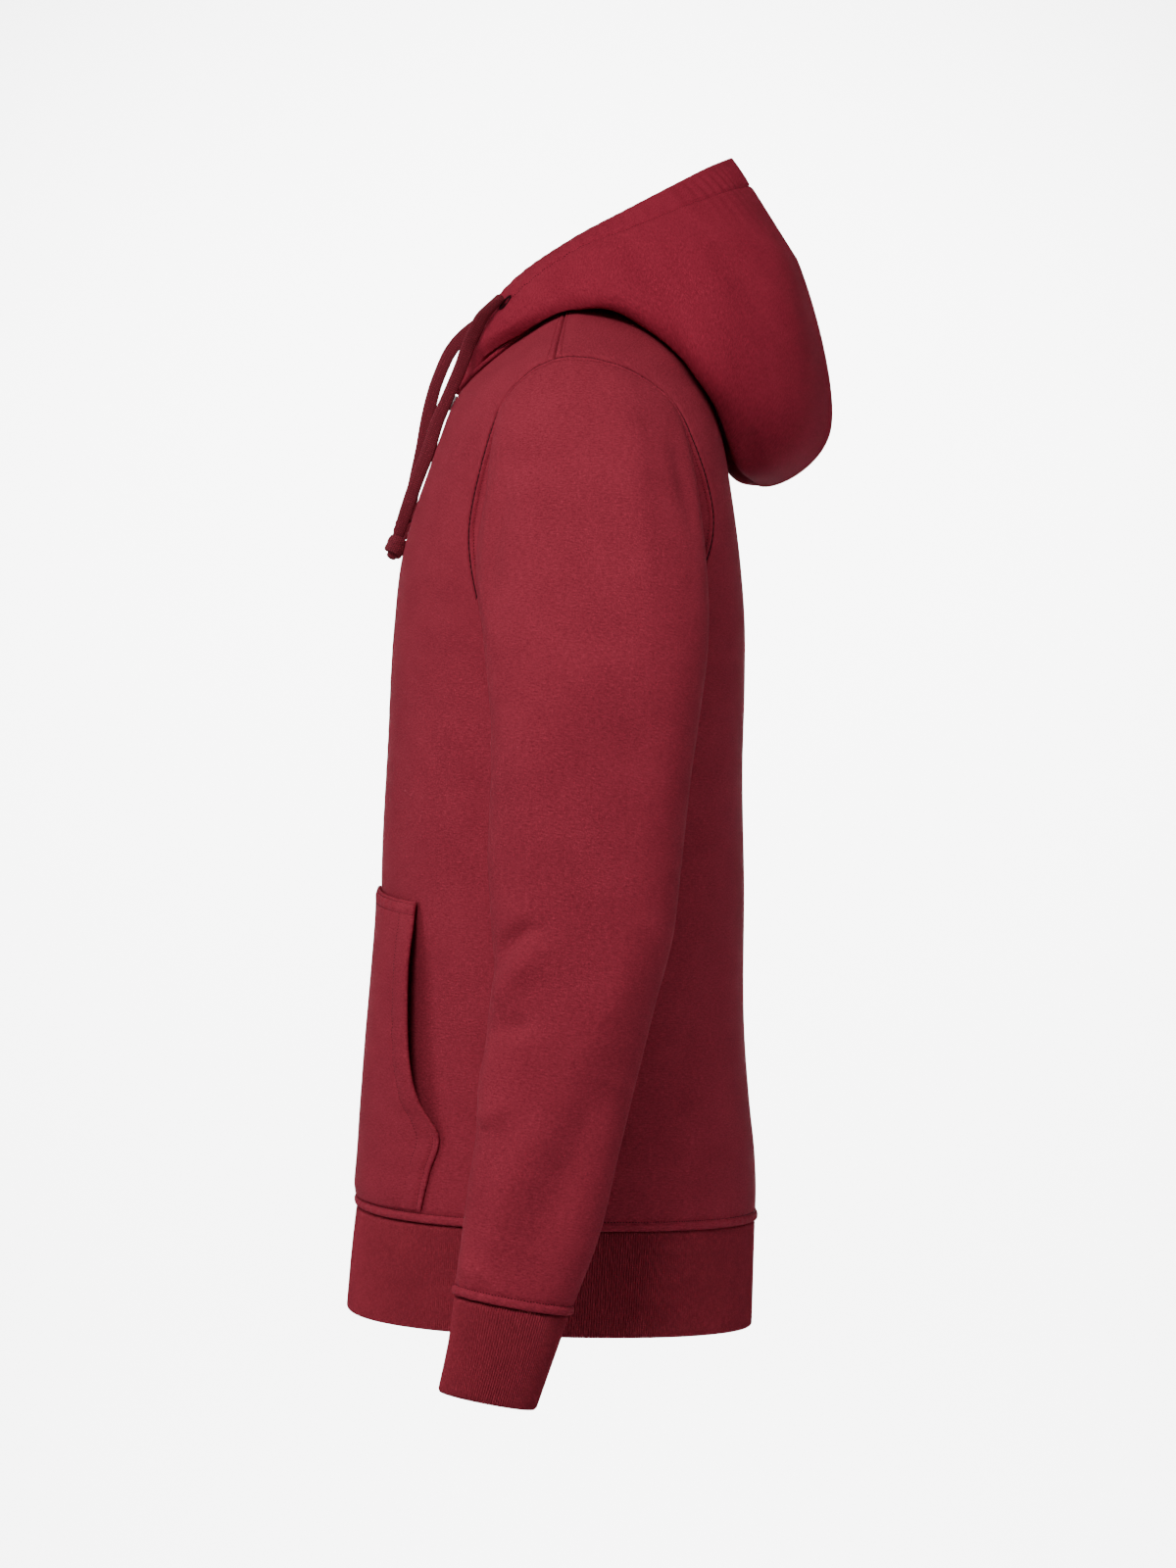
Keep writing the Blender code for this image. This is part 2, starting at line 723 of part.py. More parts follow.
# ---- body panels ------------------------------------------------------------------------------
def front_grid():
    """Outer points of the left front, from the rib seam up and from the zip outwards."""
    heights = zip_heights(BODY_ROWS, ARMHOLE_FRONT_ROWS)
    left = torso(turn_at_x(heights, ZIP_EDGE, False), heights)
    side = side_line(QUARTER, HEM_SEAM_SIDE, ARMPIT, BODY_ROWS)
    right = np.concatenate([side, armhole_line(ARMHOLE_FRONT, ARMHOLE_FRONT_ROWS)[1:]])
    top = np.concatenate([neck_line(False, NECK_COLUMNS), shoulder_line(SHOULDER_COLUMNS)[1:]])
    first = turn_at_x(HEM_SEAM_FRONT, ZIP_EDGE, False)
    bottom = rib_seam_line(float(first), QUARTER, NECK_COLUMNS + SHOULDER_COLUMNS)
    left[0], left[-1] = bottom[0], top[0]
    right[0], right[-1] = bottom[-1], top[-1]
    return panel_grid(bottom, top, left, right)


def back_grid():
    """Outer points of the back's left half, from the side seam to the centre back."""
    side = side_line(QUARTER, HEM_SEAM_SIDE, ARMPIT, BODY_ROWS)
    left = np.concatenate([side, armhole_line(ARMHOLE_BACK, ARMHOLE_BACK_ROWS)[1:]])
    shoulder, neck = shoulder_line(SHOULDER_COLUMNS), neck_line(True, NECK_COLUMNS)
    top = np.concatenate([shoulder[::-1], neck[::-1][1:]])
    bottom = rib_seam_line(QUARTER, HALF, NECK_COLUMNS + SHOULDER_COLUMNS)
    right = side_line(HALF, HEM_SEAM_BACK, BACK_NECK, BODY_ROWS + ARMHOLE_BACK_ROWS)
    left[0], left[-1] = bottom[0], top[0]
    right[0], right[-1] = bottom[-1], top[-1]
    return panel_grid(bottom, top, left, right)


def neck_seam(line):
    """Directions up the hood, into the hollow and out of the panel along the neckline."""
    away = unit((line - np.array([0.0, 0.015, 0.0])) * np.array([1.0, 1.0, 0.0]))
    start = unit(np.array([0.0, 0.0, 1.0]) - 0.15 * away)
    inwards = -unit(normals_at(line) + away)
    outwards = start - np.sum(start * inwards, axis=-1, keepdims=True) * inwards
    return start, inwards, unit(outwards)


def body_wall(points, on_back):
    """Outer and inner grid of a body panel, with its gaps, welt and mitred seams."""
    edge = 0 if on_back else -1
    beside = 1 if on_back else -2
    loop = armhole_loop(ARMHOLE_FRONT_ROWS, ARMHOLE_BACK_ROWS)
    _, inwards, outwards = armhole_seam(loop)
    if on_back:
        order = [0] + list(range(len(loop) - 1, ARMHOLE_FRONT_ROWS - 1, -1))
        neck = slice(-NECK_COLUMNS - 1, None)
        neck_point = -NECK_COLUMNS - 1
    else:
        order = list(range(ARMHOLE_FRONT_ROWS + 1))
        neck = slice(0, NECK_COLUMNS + 1)
        neck_point = NECK_COLUMNS
    outer = trim_all(points)
    inner = outer - normals_at(points) * FLEECE

    rows = slice(BODY_ROWS, None)
    armhole = points[rows, edge] - outwards[order] * HALF_GAP
    armhole[0] += unit(points[BODY_ROWS, beside] - points[BODY_ROWS, edge]) * HALF_GAP
    armhole[-1] += unit(points[-2, edge] - points[-1, edge]) * HALF_GAP
    outer[rows, edge] = armhole
    inner[rows, edge] = armhole + inwards[order] * FLEECE

    _, neck_in, neck_out = neck_seam(points[-1, neck])
    collar = points[-1, neck] - neck_out * HALF_GAP
    outer[-1, neck] = collar
    inner[-1, neck] = collar + neck_in * FLEECE
    off_shoulder = unit(points[-2, neck_point] - points[-1, neck_point]) * HALF_GAP
    outer[-1, neck_point] += off_shoulder
    inner[-1, neck_point] += off_shoulder
    if on_back:
        outer[:, -1, 0] = 0.0
        inner[:, -1, 0] = 0.0
    return with_welt(outer, normals_at(points[0]), True), with_welt(inner, None, False)


def with_welt(points, normals, lifted):
    """The grid with rows put in above its first one, for the raised seam allowance."""
    step = np.linalg.norm(points[1] - points[0], axis=-1, keepdims=True)
    rows = [points[0]]
    for distance, lift in WELT[2:-1]:
        row = points[0] + (points[1] - points[0]) * distance / step
        rows.append(row + normals * lift if lifted else row)
    return np.concatenate([np.stack(rows), points[1:]])


def both_halves(points):
    """A left half's grid that ends at the centre back, with its mirror image added."""
    mirrored = points[:, ::-1] * np.array([-1.0, 1.0, 1.0])
    return np.concatenate([points, mirrored[:, 1:]], axis=1)


# ---- sleeve and cuff ------------------------------------------------------------------------
def ring(table, height, turns):
    """A sleeve ring: turn 0 on the body's side, a quarter at the front, a half outside."""
    front, back = look_up(table, "front_y", height), look_up(table, "back_y", height)
    across, along = -np.cos(turns), -np.sin(turns)
    reach = (np.abs(across) ** SLEEVE_POWER + np.abs(along) ** SLEEVE_POWER)
    reach = reach ** (-1 / SLEEVE_POWER)
    x = look_up(table, "centre_x", height) + look_up(table, "half_width", height) * across * reach
    offset = (back - front) / 2 * along * reach
    z = height + look_up(table, "tilt", height) * offset
    return np.stack([x, (front + back) / 2 + offset, z], axis=-1)


def loop_turns(loop, front_rows):
    """The turn of each armhole point round the sleeve, with the shoulder tip at a half turn."""
    closed = np.concatenate([loop, loop[:1]])
    along = np.concatenate([[0], np.cumsum(np.linalg.norm(np.diff(closed, axis=0), axis=1))])
    tip = along[front_rows]
    front = HALF * along[: front_rows + 1] / tip
    back = HALF + HALF * (along[front_rows + 1 : -1] - tip) / (along[-1] - tip)
    return np.concatenate([front, back])


def fold_depth(points, turns):
    """How far the elbow's folds sink the sleeve at these points."""
    depth = np.zeros(points.shape[:-1])
    for height, climb, deep, reach, side in SLEEVE_FOLDS[1:]:
        middle = height + climb * (1 - np.cos(turns - QUARTER)) / 2
        strength = 0.5 + 0.5 * np.cos(turns - side * HALF * 2)
        depth += deep * strength * np.exp(-(((points[..., 2] - middle) / reach) ** 2))
    return depth


def sleeve_grid(front_rows, back_rows, cap_rows, heights):
    """Outer points of the sleeve, from the cuff's seam up to the armhole."""
    loop = armhole_loop(front_rows, back_rows)
    start, inwards, outwards = armhole_seam(loop)
    turns = loop_turns(loop, front_rows)
    first = loop + outwards * HALF_GAP
    last = ring(SLEEVE, heights[0], turns)
    below = ring(SLEEVE, heights[0] - 0.01, turns)
    chord = np.linalg.norm(last - first, axis=-1, keepdims=True)
    leaving, arriving = start * chord * CAP_REACH, unit(below - last) * chord
    rings = []
    for t in np.linspace(0, 1, cap_rows + 1):
        rings.append(
            (2 * t**3 - 3 * t**2 + 1) * first
            + (t**3 - 2 * t**2 + t) * leaving
            + (3 * t**2 - 2 * t**3) * last
            + (t**3 - t**2) * arriving
        )
    for height in heights[1:]:
        rings.append(ring(SLEEVE, height, turns))
    points = np.stack(rings)[::-1]
    points = points - grid_normals(points, True) * fold_depth(points, turns[None])[..., None]
    points[-1] = first
    return points, inwards


def sleeve_heights():
    """Heights of the sleeve's rings below the cap, closer together at the elbow."""
    top, elbow, low = column(SLEEVE, "height")[[0, 2, -1]]
    upper = np.linspace(top, elbow, 3)
    folds = np.linspace(elbow, low + 0.012, ARM_ROWS - 3)
    return np.concatenate([upper[:-1], folds, [low]])


def sleeve_wall():
    """Outer and inner grid of the left sleeve."""
    outer, inwards = sleeve_grid(
        ARMHOLE_FRONT_ROWS, ARMHOLE_BACK_ROWS, CAP_ROWS, sleeve_heights()
    )
    normals = grid_normals(outer, True)
    inner = outer - normals * FLEECE
    inner[-1] = outer[-1] + inwards * FLEECE
    return with_welt(outer, normals[0], True), with_welt(inner, None, False)


def ribbed(points, normals, wrap):
    """A fine grid's points raised and sunk by turns, a column to each."""
    columns = points.shape[1]
    raised = np.where(np.arange(columns) % 2 == 0, 1.0, -1.0) * RIB_DEPTH / 2
    if not wrap:
        raised[[0, -1]] = 0.0
    return points + normals * raised[None, :, None]


def cuff_wall():
    """Outer and inner grid of the left cuff."""
    heights = column(CUFF, "height")[::-1]
    turns = np.linspace(0, 2 * HALF, 2 * CUFF_RIBS, endpoint=False)
    outer = np.stack([ring(CUFF, height, turns) for height in heights[[0, 1, 3]]])
    coarse = np.linspace(0, 2 * HALF, 24, endpoint=False)
    inner = np.stack([ring(CUFF, height, coarse) for height in heights[[0, 1, 3]]])
    return ribbed(outer, grid_normals(outer, True), True), inner - grid_normals(inner, True) * RIB


def hem_points(count, depth):
    """Points of the hem rib's top and bottom edge, from zip to zip, sunk by a depth."""
    first = float(turn_at_x(HEM_SEAM_FRONT, ZIP_EDGE, False))
    turns = np.linspace(first, HALF, 400)
    low = along_line(turns, hem_height(turns), count)
    high = along_line(turns, hem_seam_height(turns) - SEAM_GAP, count)
    rows = []
    for line in (low, high):
        line[0, 0] = ZIP_EDGE + HALF_GAP
        line[-1, 0] = 0.0
        rows.append(line - normals_at(line) * depth)
    return both_halves(np.stack(rows))


def hem_wall():
    """Outer and inner grid of the hem rib."""
    outer = hem_points(HEM_RIBS, RIB_DEPTH)
    return ribbed(outer, grid_normals(outer, False), False), hem_points(40, RIB_DEPTH + RIB)


# ---- hood -------------------------------------------------------------------------------------
def rail(table, shares):
    """A line round the hood, read smoothly at shares of the way from front to back."""
    known = column(table, "share")
    values = np.stack([column(table, name) for name in ("x", "y", "z")], axis=-1)
    return curve_through(known, values, shares)


def neckline(columns):
    """The whole neck seam from the centre front round to the centre back."""
    return np.concatenate([neck_line(False, columns), neck_line(True, columns)[::-1][1:]])


def off_torso(points, clear):
    """The points pushed out to a clear distance from the torso where they are nearer."""
    points = points.copy()
    for _ in range(4):
        low = points[..., 2] < NECK_POINT + 0.001
        height = np.clip(points[..., 2], -0.7000, NECK_POINT)
        surface = onto_torso(np.stack([points[..., 0], points[..., 1], height], axis=-1))
        normals = normals_at(surface)
        distance = np.sum((points - surface) * normals, axis=-1)
        push = np.where(low, np.maximum(clear - distance, 0), 0)
        points = points + normals * push[..., None]
    return points


def hood_grid(neck_columns, rows_each):
    """Outer points of the left half of the hood, from the neck seam to the opening edge."""
    seam = neckline(neck_columns)
    shares = np.linspace(0, 1, len(seam))
    start, inwards, outwards = neck_seam(seam)
    seam = seam + outwards * HALF_GAP
    stand = seam + start * HOOD_STAND * np.clip(shares * 4, 0.35, 1)[:, None]
    fold = rail(HOOD_FOLD, shares)
    under = off_torso((stand + fold) / 2, HOOD_CLEAR)
    lines = [seam, stand, under, fold, rail(HOOD_BULGE, shares)]
    lines += [rail(HOOD_SHOULDER, shares), rail(HOOD_EDGE, shares)]
    known = np.arange(len(lines), dtype=float)
    at = [0.0]
    for k, rows in enumerate(rows_each):
        at += [k + (n + 1) / rows for n in range(rows)]
    lines = np.stack(lines)
    points = np.stack([curve_through(known, lines[:, j], at) for j in range(len(seam))], axis=1)
    points[1:] = off_torso(points[1:], HOOD_CLEAR)
    points[0] = seam
    points[:, -1, 0] = HALF_GAP
    return points, inwards


def hood_wall():
    """Outer and inner grid of the left half of the hood."""
    outer, inwards = hood_grid(NECK_COLUMNS, HOOD_ROWS_EACH)
    inner = outer - grid_normals(outer, False) * HOOD_CLOTH
    inner[0] = outer[0] + inwards * HOOD_CLOTH
    inner[:, -1, 0] = HALF_GAP
    return outer, inner


# ---- pocket and zip tape -------------------------------------------------------------------------
def pocket_grid(columns, rows):
    """Outer surface's points under the left pocket, and how far the pocket stands off them."""
    known = column(POCKET_EDGE, "height")
    edge_heights = np.linspace(known[0], known[-1], rows + 1)
    edge_x = curve_through(known, column(POCKET_EDGE, "x"), edge_heights)
    inner_heights = np.linspace(HEM_SEAM_FRONT + 0.0095, POCKET_INNER_TOP, rows + 1)
    share = np.linspace(0, 1, columns + 1)
    heights = inner_heights[:, None] * (1 - share) + edge_heights[:, None] * share
    x = (ZIP_EDGE + 0.0006) * (1 - share) + edge_x[:, None] * share
    points = torso(turn_at_x(heights, x, False), heights)
    mouth = look_up(POCKET_STAND, "mouth", edge_heights)[:, None]
    middle = look_up(POCKET_STAND, "middle", edge_heights)[:, None]
    stand = POCKET_SEWN + middle * np.sin(share * HALF) + mouth * share**1.8
    return points, stand


def pocket_wall():
    """Outer and inner grid of the left pocket."""
    points, stand = pocket_grid(POCKET_COLUMNS, POCKET_ROWS)
    normals = normals_at(points)
    inner = points + normals * stand[..., None]
    return inner + grid_normals(inner, False) * FLEECE, inner


def tape_wall():
    """Outer and inner grid of the left zip tape, behind the front's edge."""
    heights = zip_heights(BODY_ROWS, ARMHOLE_FRONT_ROWS)
    heights = np.concatenate([[HEM_FRONT + 0.002, -0.655], heights])
    x = np.array([TAPE_INNER, TAPE_OUTER])[None, :]
    points = torso(turn_at_x(heights[:, None], x, False), heights[:, None])
    normals = normals_at(points)
    return points - normals * TAPE_DEPTH, points - normals * (TAPE_DEPTH + ZIP_TAPE)


# ---- slider, pull tab and cords ----------------------------------------------------------------
def block_mesh(blocks):
    """Vertices and faces of boxes joined into one body: low and high along three axes."""
    edges = [sorted({value for block in blocks for value in block[axis]}) for axis in range(3)]
    shape = [len(values) - 1 for values in edges]
    filled = np.zeros([size + 2 for size in shape], bool)
    for block in blocks:
        spans = [
            slice(1 + edges[axis].index(block[axis][0]), 1 + edges[axis].index(block[axis][1]))
            for axis in range(3)
        ]
        filled[tuple(spans)] = True
    numbers, vertices, faces = {}, [], []

    def corner(key):
        if key not in numbers:
            numbers[key] = len(vertices)
            vertices.append([edges[axis][key[axis]] for axis in range(3)])
        return numbers[key]

    for cell in np.argwhere(filled):
        for axis in range(3):
            for side in (0, 1):
                beyond = cell.copy()
                beyond[axis] += 1 if side else -1
                if filled[tuple(beyond)]:
                    continue
                first, second = (axis + 1) % 3, (axis + 2) % 3
                square = []
                for a, b in ((0, 0), (1, 0), (1, 1), (0, 1)):
                    key = list(cell - 1)
                    key[axis] += side
                    key[first] += a
                    key[second] += b
                    square.append(corner(tuple(int(k) for k in key)))
                if not side:
                    square = square[::-1]
                faces += [(square[0], square[1], square[2]), (square[0], square[2], square[3])]
    return np.array(vertices), faces


def slider_frame():
    """Origin and axes of the slider: across, up the zip and out of it."""
    turn = 0.0
    origin = torso(turn, SLIDER_HEIGHT)
    out = torso_normal(turn, SLIDER_HEIGHT) * np.array([0.0, 1.0, 1.0])
    out = unit(out)
    across = np.array([1.0, 0.0, 0.0])
    return origin, across, np.cross(out, across), out


def on_slider(points):
    """The slider's own places as places in space."""
    origin, across, up, out = slider_frame()
    points = np.asarray(points, float)
    return origin + points[..., :1] * across + points[..., 1:2] * up + points[..., 2:] * out


def add_slider(material):
    """The slider's body with its bridge."""
    blocks = [
        ((-half_x, half_x), (low, high), (inner, outer))
        for half_x, low, high, inner, outer in SLIDER_BLOCKS[1:]
    ]
    vertices, faces = block_mesh(blocks)
    add_mesh("slider", on_slider(vertices), faces, material)


def add_pull(material):
    """The pull tab, with its origin on the bar that it turns about."""
    blocks = [
        ((low_x, high_x), (low, high), (inner, outer))
        for low_x, high_x, low, high, inner, outer in PULL_BLOCKS[1:]
    ]
    vertices, faces = block_mesh(blocks)
    axis = on_slider([0.0, *PULL_AXIS])
    item = add_mesh("pull_tab", on_slider(vertices) - axis, faces, material)
    item.location = axis


def add_cord(name, table, material):
    """A free cord along a smooth line through its table's points."""
    points = np.stack([column(table, axis) for axis in ("x", "y", "z")], axis=-1)
    known = np.linspace(0, 1, len(points))
    fine = curve_through(known, points, np.linspace(0, 1, 200))
    points = curve_through(known, points, evenly(fine, CORD_POINTS))
    curve = bpy.data.curves.new(name, "CURVE")
    curve.dimensions = "3D"
    curve.bevel_depth = CORD_RADIUS
    curve.bevel_resolution = 2
    curve.use_fill_caps = True
    spline = curve.splines.new("POLY")
    spline.points.add(len(points) - 1)
    for spot, point in zip(spline.points, points):
        spot.co = (*[float(c) for c in point], 1.0)
    curve.materials.append(material)
    item = bpy.data.objects.new(name, curve)
    bpy.context.scene.collection.objects.link(item)


def add_knot(name, row, material):
    """The tied end of a cord, an oval that leans as the chest does."""
    x, y, z, half_x, half_y, half_z, lean = row
    vertices = [(0.0, 0.0, -half_z)]
    for i in range(1, KNOT_RINGS):
        polar = HALF * i / KNOT_RINGS
        for k in range(KNOT_SIDES):
            turn = 2 * HALF * k / KNOT_SIDES
            spot = (math.sin(polar) * math.cos(turn), math.sin(polar) * math.sin(turn))
            vertices.append((half_x * spot[0], half_y * spot[1], -half_z * math.cos(polar)))
    vertices.append((0.0, 0.0, half_z))
    rings = np.array(vertices[1:-1]).reshape(KNOT_RINGS - 1, KNOT_SIDES, 3)
    faces = grid_faces(rings, 1, True, False)
    last, top = len(vertices) - 1, len(vertices) - 1 - KNOT_SIDES
    for k in range(KNOT_SIDES):
        following = (k + 1) % KNOT_SIDES
        faces.append((0, 1 + following, 1 + k))
        faces.append((last, top + k, top + following))
    points = np.array(vertices)
    leaned = points.copy()
    leaned[:, 1] = points[:, 1] * math.cos(lean) + points[:, 2] * math.sin(lean)
    leaned[:, 2] = points[:, 2] * math.cos(lean) - points[:, 1] * math.sin(lean)
    add_mesh(name, leaned + np.array([x, y, z]), faces, material)


def main():
    """Builds the hoodie."""
    clear_scene()
    jersey = finish_of("brushed_fleece_burgundy", (0.235, 0.028, 0.040), 0.92)
    rib = finish_of("rib_knit_burgundy", (0.190, 0.022, 0.032), 0.94)
    tape = finish_of("polyester_tape_burgundy", (0.130, 0.016, 0.024), 0.80)
    braid = finish_of("braided_cord_burgundy", (0.215, 0.026, 0.038), 0.85)
    metal = finish_of("plated_zinc", (0.72, 0.72, 0.74), 0.28, 1.0)

    add_pair("front", *wall(*body_wall(front_grid(), False)), jersey)
    back_outer, back_inner = body_wall(back_grid(), True)
    add_mesh("back", *wall(both_halves(back_outer), both_halves(back_inner)), jersey)
    add_pair("sleeve", *wall(*sleeve_wall(), wrap=True), jersey)
    add_pair("hood", *wall(*hood_wall()), jersey)
    add_pair("pocket", *wall(*pocket_wall()), jersey)
    add_pair("cuff", *wall(*cuff_wall(), wrap=True), rib)
    add_mesh("hem_rib", *wall(*hem_wall()), rib)
    add_pair("zip_tape", *wall(*tape_wall()), tape)
    add_slider(metal)
    add_pull(metal)
    add_cord("drawcord_left", CORD_LEFT, braid)
    add_cord("drawcord_right", CORD_RIGHT, braid)
    add_knot("cord_knot_left", KNOTS[1], braid)
    add_knot("cord_knot_right", KNOTS[2], braid)


main()
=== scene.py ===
"""Zip-up hooded sweatshirt: its cloth, ribs, sewing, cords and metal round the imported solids.

Metres, +Z up; the garment faces -Y and the wearer's left is +X. The torso is one smooth
surface, and a place on it is a turn (0 at the centre front, a quarter turn at the side, a
half turn at the centre back) and a height. Every cut piece is a fine grid of outer points
whose rows run upwards and whose columns run to the wearer's left.
"""

import logging
import math
from collections.abc import Callable
from dataclasses import dataclass, field
from enum import Enum
from functools import partial

import bpy
import numpy as np
from mathutils import Matrix, Vector


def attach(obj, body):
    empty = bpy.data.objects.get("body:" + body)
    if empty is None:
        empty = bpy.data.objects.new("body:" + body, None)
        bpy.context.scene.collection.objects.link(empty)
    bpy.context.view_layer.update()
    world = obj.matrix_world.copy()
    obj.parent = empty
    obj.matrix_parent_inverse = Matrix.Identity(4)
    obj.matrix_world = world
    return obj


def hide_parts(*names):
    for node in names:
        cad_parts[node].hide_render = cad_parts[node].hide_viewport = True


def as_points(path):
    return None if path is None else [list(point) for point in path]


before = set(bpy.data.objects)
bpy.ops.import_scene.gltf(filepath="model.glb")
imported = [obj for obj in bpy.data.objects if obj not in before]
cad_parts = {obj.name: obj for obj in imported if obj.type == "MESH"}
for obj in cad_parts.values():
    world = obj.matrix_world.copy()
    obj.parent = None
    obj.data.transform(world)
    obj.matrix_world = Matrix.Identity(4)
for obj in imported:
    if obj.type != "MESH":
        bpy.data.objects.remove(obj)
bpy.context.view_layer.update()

LOG = logging.getLogger("hoodie")
Array = np.ndarray
Object = bpy.types.Object
Material = bpy.types.Material
Socket = bpy.types.NodeSocket
Pair = tuple[float, float]
Point = tuple[float, float, float]

# ---- cloth and seams, as the solids have them ----
FLEECE = 0.0024
RIB = 0.0026
HOOD_CLOTH = 0.0028
ZIP_TAPE = 0.001
SEAM_GAP = 0.0003
HALF_GAP = SEAM_GAP / 2
QUARTER = math.pi / 2
HALF = math.pi

ARMPIT = -0.245
CHEST_LEVEL = -0.335
HEM_SEAM = (-0.6165, -0.625, -0.628)
HEM_EDGE = (-0.687, -0.6952, -0.7)
FRONT_NECK = -0.066
BACK_NECK = -0.022
NECK_POINT = -0.0075
SHOULDER_TIP = -0.0535
ZIP_EDGE = 0.0035
GARMENT = "garment"
FLEECE_SLOT = "brushed_fleece_burgundy"
RIB_SLOT = "rib_knit_burgundy"
CORD_SLOT = "braided_cord_burgundy"
TAPE_SLOT = "polyester_tape_burgundy"
MIRROR = np.array([-1.0, 1.0, 1.0])
LEFT = np.array([1.0, 0.0, 0.0])


# ---- lines and tables ----
def unit(vectors: Array) -> Array:
    """The vectors at length 1."""
    return vectors / np.maximum(np.linalg.norm(vectors, axis=-1, keepdims=True), 1e-12)


def shares(count: int) -> Array:
    """Numbers from 0 to 1, evenly."""
    return np.linspace(0, 1, count)


def joined(one: Array, other: Array) -> Array:
    """Two lines end to end, with the point that they share once."""
    return np.concatenate([one, other[1:]])


def closed(points: Array, axis: int = 0) -> Array:
    """The points with the first again at the end."""
    return np.concatenate([points, np.take(points, [0], axis)], axis)


def square_to(vectors: Array, ways: Array) -> Array:
    """The vectors less what they have along these ways."""
    return vectors - np.sum(vectors * ways, axis=-1, keepdims=True) * ways


def bell(values: Array, width: float) -> Array:
    """1 at 0, falling softly to both sides."""
    return np.exp(-((values / width) ** 2))


def hermite(t: Array, low: Array, leaving: Array, high: Array, arriving: Array) -> Array:
    """A cubic from low to high with these slopes, at t from 0 to 1."""
    return ((2 * t**3 - 3 * t**2 + 1) * low + (t**3 - 2 * t**2 + t) * leaving +
        (3 * t**2 - 2 * t**3) * high + (t**3 - t**2) * arriving)


def rounded_square(across: Array, along: Array, power: float) -> Array:
    """How far out a rounded square lies on the way given by these two shares."""
    return (np.abs(across) ** power + np.abs(along) ** power) ** (-1 / power)


def curve_through(known: Array, values: Array, at: Array) -> Array:
    """Reads a smooth cubic curve.

    Args:
        known: Rising numbers at which the curve is given.
        values: The curve's value, or its row of values, at each of them.
        at: Where it is read; the ends are held.

    Returns:
        The values there.
    """
    known = np.asarray(known, float)
    values = np.asarray(values, float)
    flat = values.ndim == 1
    values = values.reshape(len(known), -1)
    step = np.diff(known)
    rise = np.diff(values, axis=0) / step[:, None]
    slope = np.vstack([rise[:1], (rise[:-1] + rise[1:]) / 2, rise[-1:]])
    if len(known) > 2:
        before, after = step[:-1, None], step[1:, None]
        slope[1:-1] = (rise[:-1] * after + rise[1:] * before) / (before + after)
    at = np.clip(np.asarray(at, float), known[0], known[-1])
    left = np.clip(np.searchsorted(known, at, "right") - 1, 0, len(known) - 2)
    span = step[left]
    t = ((at - known[left]) / span)[..., None]
    span = span[..., None]
    blended = hermite(t, values[left], span * slope[left], values[left + 1], span *
        slope[left + 1])
    return blended[..., 0] if flat else blended


def lengths(points: Array) -> Array:
    """The way along a line of points, from 0 at the first."""
    steps = np.linalg.norm(np.diff(points, axis=0), axis=-1)
    return np.concatenate([np.zeros((1, *steps.shape[1:])), np.cumsum(steps, axis=0)])


def read_along(at: Array | float, along: Array, values: Array) -> Array:
    """Points or directions of a line, read straight between its own."""
    return np.stack([np.interp(at, along, column) for column in values.T], axis=-1)


def evenly(points: Array, count: int) -> Array:
    """The shares from 0 to 1 that divide a line of points into count equal lengths."""
    along = lengths(points)
    return np.interp(np.linspace(0, along[-1], count + 1), along, shares(len(points)))


def smooth_step(values: Array, low: float, high: float) -> Array:
    """0 below low, 1 above high and a smooth rise between."""
    t = np.clip((values - low) / (high - low), 0, 1)
    return t * t * (3 - 2 * t)


@dataclass(frozen=True)
class Table:
    """Rows of sizes under named columns; the first column says where each row holds."""

    names: str
    rows: tuple[tuple[float, ...], ...]

    def column(self, name: str) -> Array:
        """One named column."""
        at = self.names.split().index(name)
        return np.array([row[at] for row in self.rows], float)

    def line(self, names: str = "x y z") -> Array:
        """Several columns side by side, a row of the table to each."""
        return np.stack([self.column(name) for name in names.split()], axis=-1)

    def read(self, name: str, at: Array) -> Array:
        """A named column read smoothly where the first column has these values."""
        known = self.column(self.names.split()[0])
        order = np.argsort(known)
        return curve_through(known[order], self.column(name)[order], at)


